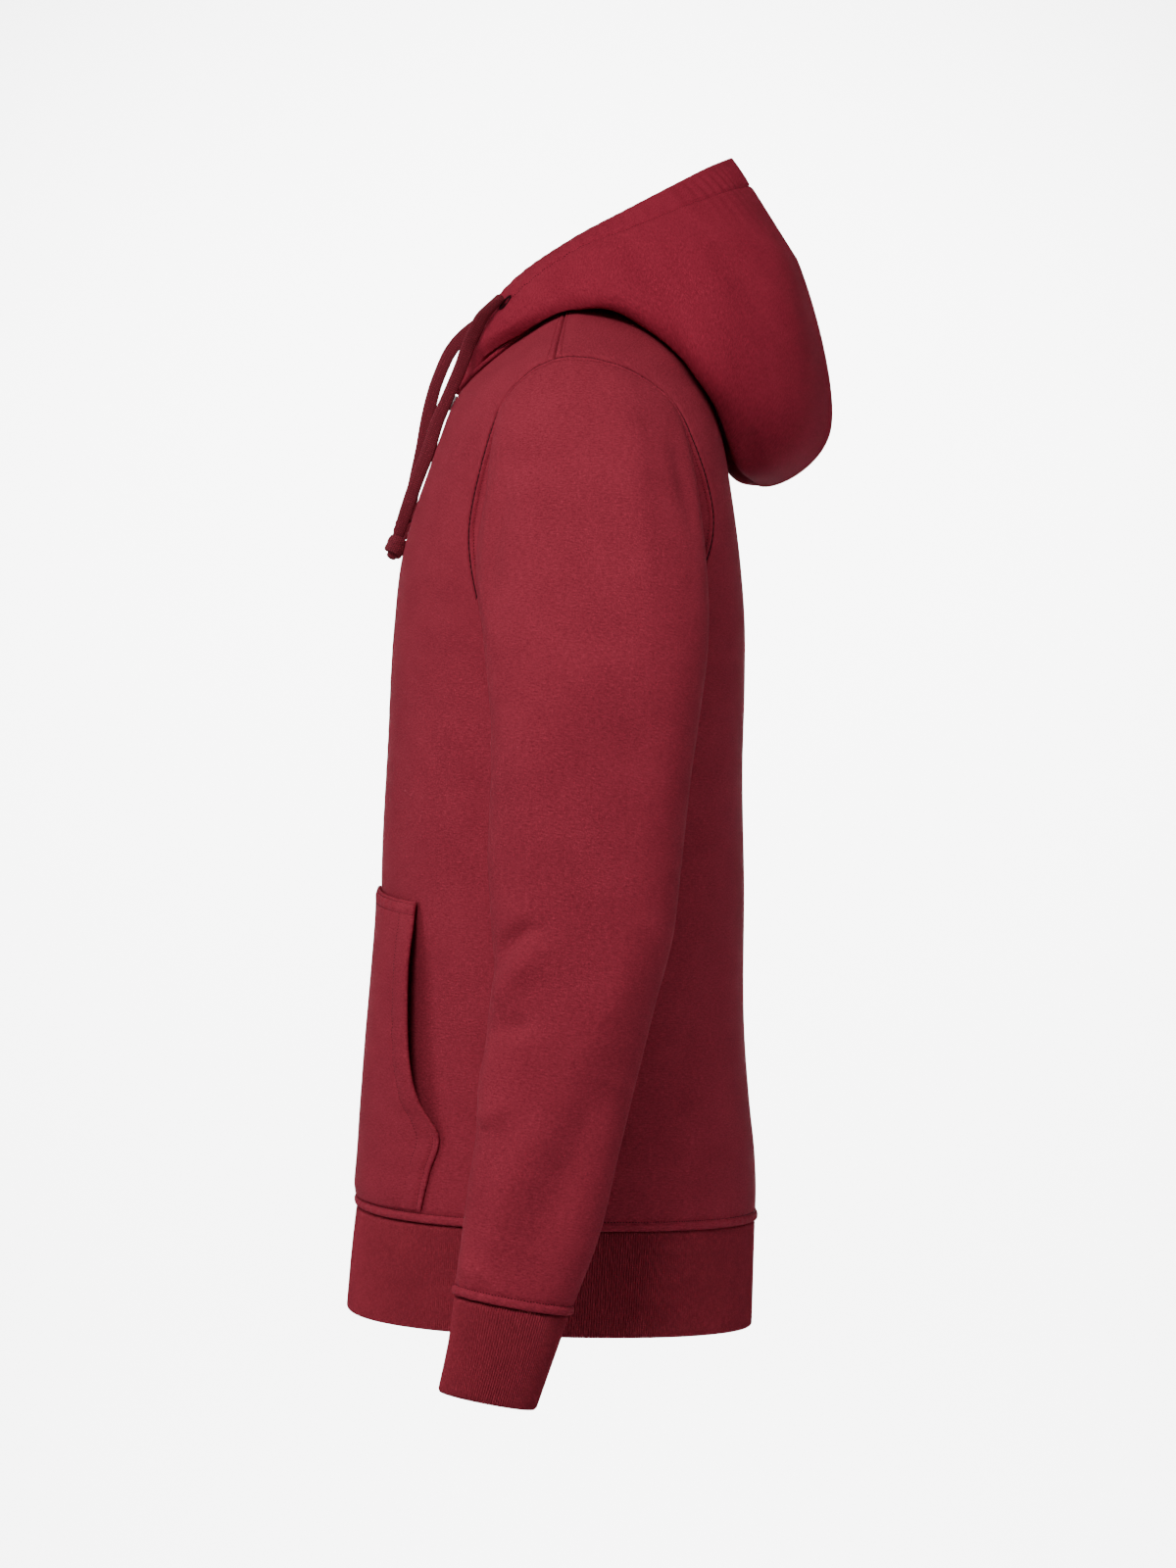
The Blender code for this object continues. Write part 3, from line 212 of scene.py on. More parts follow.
# ---- the torso's surface ----
@dataclass(frozen=True)
class Torso:
    """The smooth surface that the fronts, the back and the hem rib are cut from."""

    sections: Table = Table("height half_width side_y front_power back_power",
        ((-0.705, 0.18, -0.008, 2.1, 2.4), (-0.665, 0.183, -0.008, 2.1, 2.4),
        (-0.625, 0.185, -0.008, 2.1, 2.45), (-0.56, 0.1895, -0.006, 2.1, 2.5),
        (-0.48, 0.1925, -0.005, 2.1, 2.6), (-0.4, 0.1945, -0.004, 2.15, 2.7),
        (-0.32, 0.197, -0.002, 2.25, 2.9), (-0.245, 0.199, 0.001, 2.35, 3.3),
        (-0.18, 0.203, 0.003, 2.4, 4.1), (-0.14, 0.207, 0.004, 2.35, 4.5),
        (-0.108, 0.212, 0.004, 2.25, 4.0), (-0.082, 0.2165, 0.004, 2.1, 3.0),
        (-0.064, 0.215, 0.003, 1.95, 2.35), (-0.0535, 0.207, 0.003, 1.85, 2.2),
        (-0.044, 0.189, 0.003, 1.75, 2.1), (-0.033, 0.162, 0.003, 1.65, 2.05),
        (-0.02, 0.128, 0.003, 1.65, 2.0), (-0.006, 0.091, 0.003, 1.75, 1.95)))
    centre_front: Table = Table("height y", ((-0.705, -0.1566), (-0.6915, -0.1553),
        (-0.646, -0.1512), (-0.6165, -0.1478), (-0.586, -0.1443), (-0.506, -0.1374),
        (-0.42, -0.1312), (-0.385, -0.1307), (-0.305, -0.1266), (-0.2245, -0.1222),
        (-0.177, -0.1165), (-0.1454, -0.108), (-0.1226, -0.1), (-0.097, -0.0912),
        (-0.066, -0.0775), (-0.048, -0.061), (-0.031, -0.044), (-0.015, -0.029), (-0.006, -0.021)))
    centre_back: Table = Table("height y", ((-0.705, 0.1216), (-0.685, 0.1223), (-0.6465, 0.1234),
        (-0.628, 0.124), (-0.606, 0.1246), (-0.586, 0.1239), (-0.546, 0.12), (-0.506, 0.117),
        (-0.4, 0.1165), (-0.325, 0.1152), (-0.26, 0.1166), (-0.2245, 0.1164), (-0.184, 0.1132),
        (-0.1347, 0.1065), (-0.1, 0.101), (-0.06, 0.0925), (-0.03, 0.083), (-0.006, 0.072)))

    def sizes(self, turn: Array, height: Array) -> tuple[Array, Array, Array, Array]:
        """Half width, depth, side y and power of the level section on the turn's own half."""
        turn, height = np.broadcast_arrays(np.asarray(turn, float), np.asarray(height, float))
        front = np.cos(turn) >= 0
        side = self.sections.read("side_y", height)
        forward = side - self.centre_front.read("y", height)
        backward = self.centre_back.read("y", height) - side
        power = np.where(front, self.sections.read("front_power", height),
            self.sections.read("back_power", height))
        wide = self.sections.read("half_width", height)
        return wide, np.where(front, forward, backward), side, power

    def points(self, turn: Array, height: Array) -> Array:
        """Outer points at these turns and heights."""
        wide, deep, side, power = self.sizes(turn, height)
        across, along = np.sin(turn), np.cos(turn)
        reach = (np.abs(across) / wide) ** power + (np.abs(along) / deep) ** power
        reach = reach ** (-1 / power)
        height = np.broadcast_to(np.asarray(height, float), reach.shape)
        return np.stack([reach * across, side - reach * along, height], axis=-1)

    def normals(self, turn: Array, height: Array) -> Array:
        """Outward directions at these turns and heights."""
        around = self.points(turn + 0.01, height) - self.points(turn - 0.01, height)
        up = self.points(turn, height + 0.001) - self.points(turn, height - 0.001)
        return unit(np.cross(around, up))

    def turn_at_y(self, height: Array, y: Array) -> Array:
        """The turn at which the surface has this y."""
        height, y = np.asarray(height, float), np.asarray(y, float)
        side = self.sections.read("side_y", height)
        guess = np.where(y < side, QUARTER * 0.5, QUARTER * 1.5)
        wide, deep, side, power = self.sizes(guess, height)
        share = np.clip(np.abs(y - side) / deep, 0, 1)
        return np.arctan2(wide * (1 - share**power) ** (1 / power), side - y)

    def turn_at_x(self, height: Array, x: Array, back: bool = False) -> Array:
        """The turn at which the surface is this far from the centre line."""
        height, x = np.asarray(height, float), np.asarray(x, float)
        wide, deep, _, power = self.sizes(HALF if back else 0.0, height)
        share = np.clip(x / wide, 0, 1)
        y = deep * (1 - share**power) ** (1 / power)
        return np.arctan2(x, -y if back else y)

    def onto(self, points: Array) -> Array:
        """The points moved level onto the surface."""
        height = np.clip(points[..., 2], -0.7, NECK_POINT + 0.0005)
        side = self.sections.read("side_y", height)
        return self.points(np.arctan2(points[..., 0], side - points[..., 1]), height)

    def normals_at(self, points: Array) -> Array:
        """Outward directions at points that lie on the surface."""
        side = self.sections.read("side_y", points[..., 2])
        turn = np.arctan2(points[..., 0], side - points[..., 1])
        return self.normals(turn, np.clip(points[..., 2], -0.7, NECK_POINT))

    def line(self, turns: Array, heights: Array, count: int) -> Array:
        """A line on the surface, divided into count equal lengths."""
        share = evenly(self.points(turns, heights), count)
        known = shares(len(turns))
        return self.points(np.interp(share, known, turns), np.interp(share, known, heights))

    def off(self, points: Array, clear: float) -> Array:
        """The points pushed out to a clear distance where they are nearer."""
        points = points.copy()
        for _ in range(4):
            low = points[..., 2] < NECK_POINT + 0.001
            level = points.copy()
            level[..., 2] = np.clip(points[..., 2], -0.7, NECK_POINT)
            surface = self.onto(level)
            normals = self.normals_at(surface)
            distance = np.sum((points - surface) * normals, axis=-1)
            push = np.where(low, np.maximum(clear - distance, 0), 0)
            points = points + normals * push[..., None]
        return points


TORSO = Torso()


def hem_seam(turn: Array) -> Array:
    """Height of the seam between body and rib."""
    return curve_through((0, QUARTER, HALF), HEM_SEAM, turn)


def hem_edge(turn: Array) -> Array:
    """Height of the rib's bottom edge."""
    return curve_through((0, QUARTER, HALF), HEM_EDGE, turn)


# ---- the seams that the pieces share ----
@dataclass(frozen=True)
class Seams:
    """Armhole, shoulder, neck and side seams as lines on the torso."""

    armhole_front: Table = Table("height y", ((-0.245, 0.006), (-0.243, -0.018), (-0.237, -0.04),
        (-0.226, -0.056), (-0.2036, -0.065), (-0.1652, -0.069), (-0.1204, -0.0605),
        (-0.082, -0.047), (-0.061, -0.028), (-0.0535, -0.0125)))
    armhole_back: Table = Table("height y", ((-0.245, 0.006), (-0.2425, 0.03), (-0.233, 0.056),
        (-0.213, 0.076), (-0.183, 0.0894), (-0.1614, 0.0934), (-0.1387, 0.0905), (-0.11, 0.0812),
        (-0.082, 0.067), (-0.063, 0.042), (-0.0535, 0.015), (-0.052, -0.005), (-0.0535, -0.0125)))
    neck_front: Table = Table("height x", ((-0.066, 0.0035), (-0.062, 0.03), (-0.053, 0.056),
        (-0.042, 0.076), (-0.031, 0.087), (-0.02, 0.091), (-0.0075, 0.09)))
    neck_back: Table = Table("height x",
        ((-0.022, 0.0), (-0.02, 0.03), (-0.016, 0.056), (-0.011, 0.075), (-0.0075, 0.086)))
    cap_start: Point = (0.8, 0.0, -0.6)

    @staticmethod
    def along_rows(table: Table, name: str) -> tuple[Array, Array]:
        """Heights and one column of a table, followed finely row by row."""
        steps = shares(len(table.rows))
        fine = shares(240)
        return (curve_through(steps, table.column("height"), fine),
            curve_through(steps, table.column(name), fine))

    def armhole(self, table: Table, count: int) -> Array:
        """One side of the armhole, from the armpit to the shoulder tip."""
        heights, y = self.along_rows(table, "y")
        turns = TORSO.turn_at_y(heights, y)
        turns[0] = QUARTER
        return TORSO.line(turns, heights, count)

    def armhole_loop(self, front: int, back: int) -> Array:
        """The armhole up the front and down the back, open by one point."""
        rising = self.armhole(self.armhole_front, front)
        falling = self.armhole(self.armhole_back, back)
        return np.concatenate([rising, falling[-2:0:-1]])

    def armhole_ways(self, loop: Array, reach: int) -> tuple[Array, Array, Array]:
        """Directions at the armhole.

        Args:
            loop: The armhole's points.
            reach: How many points away each direction along the seam is taken.

        Returns:
            The sleeve's start, the way into the hollow and the way out of the panel.
        """
        along = unit(np.roll(loop, -reach, axis=0) - np.roll(loop, reach, axis=0))
        body = TORSO.normals_at(loop)
        start = unit(np.array(self.cap_start) + 0.35 * unit(np.cross(body, along)))
        sleeve = unit(np.cross(start, along))
        inwards = -unit(body + sleeve)
        outwards = np.cross(inwards, along)
        outwards = outwards * np.sign(np.sum(outwards * start, axis=-1, keepdims=True))
        return start, inwards, unit(outwards)

    def shoulder(self, count: int) -> Array:
        """The shoulder seam from the neck to the tip, a little in front of the ridge."""
        heights = np.linspace(NECK_POINT, SHOULDER_TIP, 120)
        y = np.linspace(-0.003, self.armhole_front.rows[-1][1], 120)
        return TORSO.line(TORSO.turn_at_y(heights, y), heights, count)

    def neck(self, back: bool, count: int) -> Array:
        """The neckline from the centre to the shoulder seam."""
        heights, x = self.along_rows(self.neck_back if back else self.neck_front, "x")
        turns = TORSO.turn_at_x(heights, np.maximum(x, 0), back)
        turns[-1] = TORSO.turn_at_y(heights[-1], -0.003)
        return TORSO.line(turns, heights, count)

    def neck_ways(self, line: Array) -> tuple[Array, Array, Array]:
        """Directions up the hood, into the hollow and out of the panel at the neckline."""
        away = unit((line - np.array([0.0, 0.015, 0.0])) * np.array([1.0, 1.0, 0.0]))
        start = unit(np.array([0.0, 0.0, 1.0]) - 0.15 * away)
        inwards = -unit(TORSO.normals_at(line) + away)
        return start, inwards, unit(square_to(start, inwards))

    @staticmethod
    def side(bottom: float, top: float, count: int, turn: float = QUARTER) -> Array:
        """A line up the torso at one turn."""
        return TORSO.line(np.full(120, turn), np.linspace(bottom, top, 120), count)


SEAMS = Seams()


# ---- cloth as a grid ----
class Edge(Enum):
    """An edge of a piece's grid."""

    LOW = "low"
    HIGH = "high"
    FIRST = "first"
    LAST = "last"


LOW, HIGH, FIRST, LAST = Edge


@dataclass(frozen=True)
class Crease:
    """A soft trough, or with a negative depth a ridge, along a line seen from the side."""

    line: tuple[Pair, ...]
    depth: float
    width: float
    side: float = 1.0

    def at(self, points: Array, normals: Array) -> Array:
        """How deep the crease is at each point.

        Args:
            points: The cloth's points.
            normals: Its outward directions; only the side that faces the crease takes it.

        Returns:
            The depth at each point, in metres.
        """
        known = shares(len(self.line))
        share = shares(28)
        path = curve_through(known, np.array(self.line), share)
        reach = points[..., None, 1:] - path
        distance = np.sum(reach**2, axis=-1)
        nearest = np.argmin(distance, axis=-1)
        distance = np.take_along_axis(distance, nearest[..., None], -1)[..., 0]
        fade = np.sqrt(np.sin(np.clip(share, 0.04, 0.96) * math.pi))[nearest]
        facing = 1.0
        if self.side:
            facing = smooth_step(normals[..., 0] * self.side, 0.0, 0.5)
        return self.depth * fade * np.exp(-distance / self.width**2) * facing


def mirrored(creases: tuple[Crease, ...], share: float) -> tuple[Crease, ...]:
    """The creases for the other side of the garment, some deeper and some shallower."""
    return tuple(Crease(tuple((y + 0.003 * math.sin(5 * k + y * 90), z + 0.004 * k % 0.009) for y,
        z in c.line), c.depth * (share + 0.25 * math.sin(2.1 * k)), c.width *
        (1.1 - 0.15 * math.cos(1.7 * k)), c.side) for k, c in enumerate(creases))


# how far a surface rises at a distance from its edge
SEAM = Table("distance lift",
    ((0, -0.0019), (0.0003, -0.0016), (0.0007, -0.0007), (0.0012, -0.0002), (0.0022, 0)))
FOLD = Table("distance lift", ((0, -0.001), (0.0003, -0.00052), (0.0008, -0.00015), (0.0014, 0)))
CLOSE = (0.0, 0.0003, 0.0007, 0.0012, 0.0022)
FOLD_LINES = (0, 0.0003, 0.0008, 0.0014)
# how much thinner the wall is at a folded edge, rounded on both sides
ROUNDED = 0.0009


@dataclass
class Cloth:
    """A cut piece as a grid of outer points, and how it sinks and rises.

    Args:
        points: Outer points, rows upwards and columns to the wearer's left.
        thick: The cloth's thickness.
        wrap: Whether the last column joins the first, as on a sleeve.
    """

    points: Array
    thick: float
    wrap: bool = False
    downs: Array = field(init=False)
    form: Array = field(init=False)
    relief: Array = field(init=False)
    depth: Array = field(init=False)

    def __post_init__(self) -> None:
        """Lays the cloth out flat."""
        self.settle()

    def settle(self) -> None:
        """Works out the inward directions anew and clears what was raised."""
        self.downs = -self.normals(self.points)
        self.form = np.zeros(self.points.shape[:2])
        self.relief = np.zeros(self.points.shape[:2])
        self.depth = np.full(self.points.shape[:2], self.thick)

    def normals(self, points: Array) -> Array:
        """Outward directions of a grid."""
        if self.wrap:
            around = np.roll(points, -1, axis=1) - np.roll(points, 1, axis=1)
        else:
            around = np.gradient(points, axis=1)
        return unit(np.cross(around, np.gradient(points, axis=0)))

    @staticmethod
    def turned(grid: Array, edge: Edge) -> Array:
        """The grid with an edge as its first row; done twice it is the grid again."""
        if edge is LOW:
            return grid
        if edge is HIGH:
            return grid[::-1]
        if edge is FIRST:
            return np.swapaxes(grid, 0, 1)
        return np.swapaxes(grid[:, ::-1], 0, 1)

    @staticmethod
    def turned_back(grid: Array, edge: Edge) -> Array:
        """Undoes turned."""
        if edge is LAST:
            return np.swapaxes(grid, 0, 1)[:, ::-1]
        return Cloth.turned(grid, edge)

    def lined(self, **lines: tuple[float, ...]) -> None:
        """Puts lines in at distances from edges, given by name, one edge after another."""
        for name, distances in lines.items():
            self.closer(Edge(name), distances)

    def raised(self, **tables: Table) -> None:
        """Raises the outside by a table at each edge that is given by name."""
        for name, table in tables.items():
            self.raise_by(table, Edge(name))

    def closer(self, edge: Edge, distances: tuple[float, ...]) -> None:
        """Puts lines in at these distances from an edge, in place of those that it has there."""
        grid = self.turned(self.points, edge)
        along = lengths(grid)
        skip = int(np.argmax(np.median(along, axis=1) > distances[-1] * 1.25))
        reach = np.minimum(1.0, 0.8 * along[skip] / distances[-1])
        lines = np.empty((len(distances), *grid.shape[1:]))
        for j in range(grid.shape[1]):
            at = np.array(distances) * reach[j]
            lines[:, j] = read_along(at, along[:, j], grid[:, j])
        self.points = self.turned_back(np.concatenate([lines, grid[skip:]]), edge)
        self.settle()

    def distance(self, edge: Edge) -> Array:
        """Each point's way along the cloth to an edge."""
        return self.turned_back(lengths(self.turned(self.points, edge)), edge)

    def raise_by(self, table: Table, edge: Edge, where: Array | float = 1.0) -> None:
        """Raises the outside by a table of lifts at distances from an edge."""
        distance = self.distance(edge)
        known = table.column("distance")
        lift = np.interp(distance, known, table.column("lift"))
        self.relief += np.where(distance <= known[-1], lift, 0.0) * where

    def pucker(self, edge: Edge, distance: float, reach: float, size: float, pitch: float) -> None:
        """Ripples the cloth along a row of stitches, a little unevenly.

        Args:
            edge: The edge that the row follows.
            distance: How far the row is from it.
            reach: How far the ripples spread on each side.
            size: Their height.
            pitch: The way from one to the next.
        """
        away = self.turned(self.distance(edge), edge)
        row = int(np.argmax(np.median(away, axis=1) >= distance))
        along = lengths(self.turned(self.points, edge)[row])
        wave = np.sin(2 * math.pi * along / pitch + 2.0 * np.sin(along * 41) + np.sin(along * 97))
        near = bell(away - distance, reach)
        relief = self.turned(self.relief, edge)
        relief += size * (wave * (0.7 + 0.3 * np.sin(along * 23)))[None] * near

    def fold_over(self, edge: Edge) -> None:
        """Rounds an edge that is folded, inside as outside."""
        self.raise_by(FOLD, edge)
        self.turned(self.depth, edge)[0] = self.thick - ROUNDED

    def crease(self, creases: tuple[Crease, ...]) -> None:
        """Sinks the whole cloth by its creases, which fade out at the seams."""
        fade = np.ones(self.points.shape[:2])
        for edge in Edge:
            if not (self.wrap and edge in (FIRST, LAST)):
                fade = fade * smooth_step(self.distance(edge), 0.0, 0.014)
        for one in creases:
            self.form -= one.at(self.points, -self.downs) * fade

    def outer(self) -> Array:
        """The finished outside."""
        return self.points - self.downs * (self.form + self.relief)[..., None]

    def inner(self) -> Array:
        """The finished inside."""
        return self.points - self.downs * (self.form - self.depth)[..., None]

    def kept(self, step: int) -> tuple[Array, Array]:
        """The rows and columns of the outside that the inside has too."""
        rows, columns = self.points.shape[:2]
        across = np.arange(0, columns, step)
        if not self.wrap:
            across = np.unique([*across, columns - 1])
        return np.unique([*range(0, rows, step), rows - 1]), across

    def measures(self, middle: int) -> Array:
        """The cloth's own flat places, from a middle column and the first row, in metres."""
        points = self.points
        grid = closed(points, 1) if self.wrap else points
        across = self.turned_back(lengths(self.turned(grid, FIRST)), FIRST)
        across = across - across[:, middle : middle + 1]
        return np.stack([across, lengths(grid)], axis=-1)

    def line_at(self, edge: Edge, distance: float) -> tuple[Array, Array]:
        """A line on the outside at a distance from an edge, with its outward directions.

        Where the cloth ends sooner than that, the line is left out.
        """
        along = lengths(self.turned(self.points, edge))
        enough = along[-1] > distance + 0.003
        along = along[:, enough]
        points = self.turned(self.outer(), edge)[:, enough]
        normals = self.turned(self.normals(self.outer()), edge)[:, enough]
        spots, ways = np.empty(points[0].shape), np.empty(points[0].shape)
        for j in range(points.shape[1]):
            spots[j] = read_along(distance, along[:, j], points[:, j])
            ways[j] = read_along(distance, along[:, j], normals[:, j])
        return spots, unit(ways)


# ---- meshes ----
class MeshBuilder:
    """Collects a piece's points, faces and flat places, and makes its object."""

    def __init__(self) -> None:
        """Starts empty."""
        self.points: list[Array] = []
        self.faces: list[Array] = []
        self.places: list[Array] = []
        self.count = 0

    def add_points(self, points: Array) -> Array:
        """Adds points and returns their numbers in the same layout."""
        shape = points.shape[:-1]
        flat = points.reshape(-1, 3)
        numbers = np.arange(self.count, self.count + len(flat)).reshape(shape)
        self.points.append(flat)
        self.count += len(flat)
        return numbers

    def add_faces(self, faces: Array, places: Array) -> None:
        """Adds faces of one size, with a flat place to each corner."""
        self.faces.append(faces)
        self.places.append(places.reshape(-1, 2))

    def add_grid(
        self, points: Array, flat: Array, wrap: bool = False, turned: bool = False
    ) -> Array:
        """Adds a grid.

        Args:
            points: The grid's points.
            flat: Its flat places, with one more column where it wraps.
            wrap: Whether the last column joins the first.
            turned: Whether its faces look the other way.

        Returns:
            The points' numbers, with the first column again at the end where it wraps.
        """
        numbers = self.add_points(points)
        if wrap:
            numbers = closed(numbers, 1)
        corners = [(0, 0), (0, 1), (1, 1), (1, 0)]
        if turned:
            corners = corners[::-1]
        rows, columns = numbers.shape

        def squares(grid: Array) -> Array:
            """The four corners of every square."""
            parts = [grid[a : rows - 1 + a, b : columns - 1 + b] for a, b in corners]
            return np.stack(parts, axis=2).reshape(-1, 4, *grid.shape[2:])

        self.add_faces(squares(numbers), squares(flat))
        return numbers

    def add_strip(self, one: Array, one_flat: Array, other: Array, other_flat: Array) -> None:
        """Joins two lines of points, which may differ in number, with triangles."""
        faces, flat = [], []
        i = j = 0
        last_i, last_j = len(one) - 1, len(other) - 1
        while i < last_i or j < last_j:
            if j == last_j or (i < last_i and (i + 1) * last_j <= (j + 1) * last_i):
                faces.append((one[i + 1], one[i], other[j]))
                flat.append((one_flat[i + 1], one_flat[i], other_flat[j]))
                i += 1
            else:
                faces.append((one[i], other[j], other[j + 1]))
                flat.append((one_flat[i], other_flat[j], other_flat[j + 1]))
                j += 1
        self.add_faces(np.array(faces), np.array(flat))

    def add_copies(
        self, shape: Array, faces: Array, middles: Array, ways: tuple[Array, ...], along: Array
    ) -> None:
        """Adds a small closed shape many times.

        Args:
            shape: Its points.
            faces: Its faces.
            middles: The middle of each copy.
            ways: Where the shape's X, Y and Z point in each copy.
            along: The flat place of each copy, along its row.
        """
        points = middles[:, None]
        for axis, way in enumerate(ways):
            points = points + shape[None, :, axis, None] * way[:, None]
        corners = self.add_points(points)[:, faces]
        places = np.stack([along, along * 0], axis=-1)
        flat = np.broadcast_to(places[:, None, None, :], (*corners.shape, 2))
        self.add_faces(corners.reshape(-1, faces.shape[1]), flat)

    def make(self, name: str, material: Material) -> Object:
        """Makes the object, smooth all over, with its flat places as a UV map."""
        mesh = bpy.data.meshes.new(name)
        faces = [row for part in self.faces for row in part.tolist()]
        mesh.from_pydata(np.concatenate(self.points).tolist(), [], faces)
        layer = mesh.uv_layers.new(name="grain")
        layer.data.foreach_set("uv", np.concatenate(self.places).astype(np.float32).ravel())
        mesh.shade_smooth()
        mesh.materials.append(material)
        mesh.update()
        made = bpy.data.objects.new(name, mesh)
        bpy.context.scene.collection.objects.link(made)
        return made


def sewn(cloth: Cloth, name: str, material: Material, middle: int = 0, step: int = 2) -> Object:
    """Makes a closed wall of a cut piece.

    Args:
        cloth: The cut piece.
        name: The object's name.
        material: Its finish.
        middle: The column from which the grain is measured.
        step: How many lines of the outside go to one of the inside.

    Returns:
        The object.
    """
    outer, flat = cloth.outer(), cloth.measures(middle)
    rows, columns = cloth.kept(step)
    inner = cloth.inner()[rows][:, columns]
    inner_flat = flat[rows][:, [*columns, -1] if cloth.wrap else columns]
    builder = MeshBuilder()
    out = builder.add_grid(outer, flat, cloth.wrap)
    within = builder.add_grid(inner, inner_flat, cloth.wrap, turned=True)
    builder.add_strip(out[0], flat[0], within[0], inner_flat[0])
    builder.add_strip(within[-1], inner_flat[-1], out[-1], flat[-1])
    if not cloth.wrap:
        builder.add_strip(within[:, 0], inner_flat[:, 0], out[:, 0], flat[:, 0])
        builder.add_strip(out[:, -1], flat[:, -1], within[:, -1], inner_flat[:, -1])
    return builder.make(name, material)


def other_side(made: Object, name: str) -> Object:
    """A mirror image of a piece, with its own mesh and its faces still outwards."""
    mesh = made.data.copy()
    mesh.name = name
    mesh.transform(Matrix.Scale(-1, 4, Vector((1, 0, 0))))
    mesh.flip_normals()
    twin = bpy.data.objects.new(name, mesh)
    bpy.context.scene.collection.objects.link(twin)
    return twin


def turned_over(made: Object, name: str) -> Object:
    """The mirror image of a piece, in its stead."""
    twin = other_side(made, name)
    bpy.data.objects.remove(made, do_unlink=True)
    return twin


def pair(
    cloth: Cloth, names: tuple[str, str], material: Material, middle: int = 0, step: int = 2
) -> tuple[Object, Object]:
    """A left piece and its mirror image; Args are as for sewn."""
    made = sewn(cloth, names[0], material, middle, step)
    return made, other_side(made, names[1])


def flipped(cloth_points: Array) -> Array:
    """A left piece's grid as the right one's, its columns still to the wearer's left."""
    return cloth_points[:, ::-1] * MIRROR


# ---- sewing ----
@dataclass(frozen=True)
class Thread:
    """Topstitching: short rounded stitches that lie half sunk in the cloth."""

    pitch: float = 0.0021
    share: float = 0.64
    radius: float = 0.0004
    sink: float = 0.00012
    sides: int = 5

    def shape(self) -> tuple[Array, Array]:
        """One stitch along X with its top at +Z, and its triangles."""
        half = self.pitch * self.share / 2
        stations = ((-1.0, 0.25), (-0.72, 0.8), (0.0, 1.0), (0.72, 0.8), (1.0, 0.25))
        points = []
        for along, size in stations:
            dip = -0.5 * abs(along) ** 2 * self.radius
            for k in range(self.sides):
                turn = 2 * math.pi * k / self.sides
                across = self.radius * size * math.cos(turn)
                points.append((along * half, across, self.radius * size * math.sin(turn) + dip))
        faces = []
        for ring in range(len(stations) - 1):
            for k in range(self.sides):
                a, b = ring * self.sides + k, ring * self.sides + (k + 1) % self.sides
                faces += [(a, a + self.sides, b + self.sides), (a, b + self.sides, b)]
        last = (len(stations) - 1) * self.sides
        for k in range(1, self.sides - 1):
            faces += [(0, k, k + 1), (last, last + k + 1, last + k)]
        return np.array(points), np.array(faces)[:, ::-1]

    def sew(self, builder: MeshBuilder, line: Array, normals: Array) -> None:
        """Adds a row of stitches along a line on the cloth.

        Args:
            builder: What the stitches are added to.
            line: The line's points.
            normals: The cloth's outward direction at each.
        """
        along = lengths(line)
        count = int(along[-1] / self.pitch)
        if count < 1:
            return
        middles = (np.arange(count) + 0.5) * along[-1] / count
        spots = read_along(middles, along, line)
        way = read_along(middles + 0.0006, along, line) - read_along(middles - 0.0006, along, line)
        up = read_along(middles, along, normals)
        self.lay(builder, spots - up * self.sink, unit(way), up)

    def lay(self, builder: MeshBuilder, middles: Array, way: Array, up: Array) -> None:
        """Adds single stitches.

        Args:
            builder: What the stitches are added to.
            middles: The middle of each.
            way: The way that each one runs.
            up: The cloth's outward direction at each.
        """
        up = unit(square_to(up, way))
        across = np.cross(up, way)
        flat = np.arange(len(middles)) * self.pitch
        builder.add_copies(*self.shape(), middles, (way, across, up), flat)


# a close row of overlapping dark stitches in the ditch between two pieces: the seam's own
# stitches, and painted shade of the ditch
DITCH_SHADE_THREAD = Thread(0.004, 1.8, 0.0007, 0.0001)


@dataclass
class SewingBox:
    """All the stitches of one seam group, collected and then made as one piece."""

    name: str
    thread: Thread = Thread()
    builder: MeshBuilder = field(default_factory=MeshBuilder)

    def row(
        self, cloth: Cloth, edge: Edge, distance: float, part: slice = slice(None),
        thread: Thread | None = None
    ) -> None:
        """A row of stitches along an edge of a piece, at a distance from it.

        Args:
            cloth: The piece.
            edge: The edge that the row follows.
            distance: How far the row is from it.
            part: The stretch of the edge that is sewn.
            thread: Another thread than the box's own.
        """
        line, normals = cloth.line_at(edge, distance)
        if cloth.wrap and part == slice(None):
            line, normals = closed(line), closed(normals)
        (thread or self.thread).sew(self.builder, line[part], normals[part])

    def both_sides(self) -> None:
        """Adds the mirror image of what has been sewn so far."""
        shift = self.builder.count
        self.builder.points += [part * MIRROR for part in self.builder.points]
        self.builder.count *= 2
        for faces, flat in list(zip(self.builder.faces, self.builder.places)):
            size = faces.shape[1]
            self.builder.faces.append(faces[:, ::-1] + shift)
            self.builder.places.append(flat.reshape(-1, size, 2)[:, ::-1].reshape(-1, 2))

    def finish(self, material: Material) -> None:
        """Makes the stitches' object, which moves with the garment."""
        # the thread finish carries painted shade: it is much darker than the cloth
        dress(self.builder.make(self.name, material), None, FLEECE_SLOT)


# ---- finishes ----
def linear(colour: str) -> tuple[float, float, float, float]:
    """An sRGB hex colour as linear numbers."""
    parts = [int(colour[k : k + 2], 16) / 255 for k in (1, 3, 5)]
    parts = [c / 12.92 if c <= 0.04045 else ((c + 0.055) / 1.055) ** 2.4 for c in parts]
    return (*parts, 1.0)


def wire(node: bpy.types.Node, **inputs: object) -> None:
    """Sets a node's inputs, named as in_Name or in_0; another node's output is linked."""
    for key, value in inputs.items():
        key = key[3:]
        socket = node.inputs[int(key) if key.isdigit() else key.replace("_", " ")]
        if isinstance(value, Socket):
            node.id_data.links.new(value, socket)
        else:
            socket.default_value = value


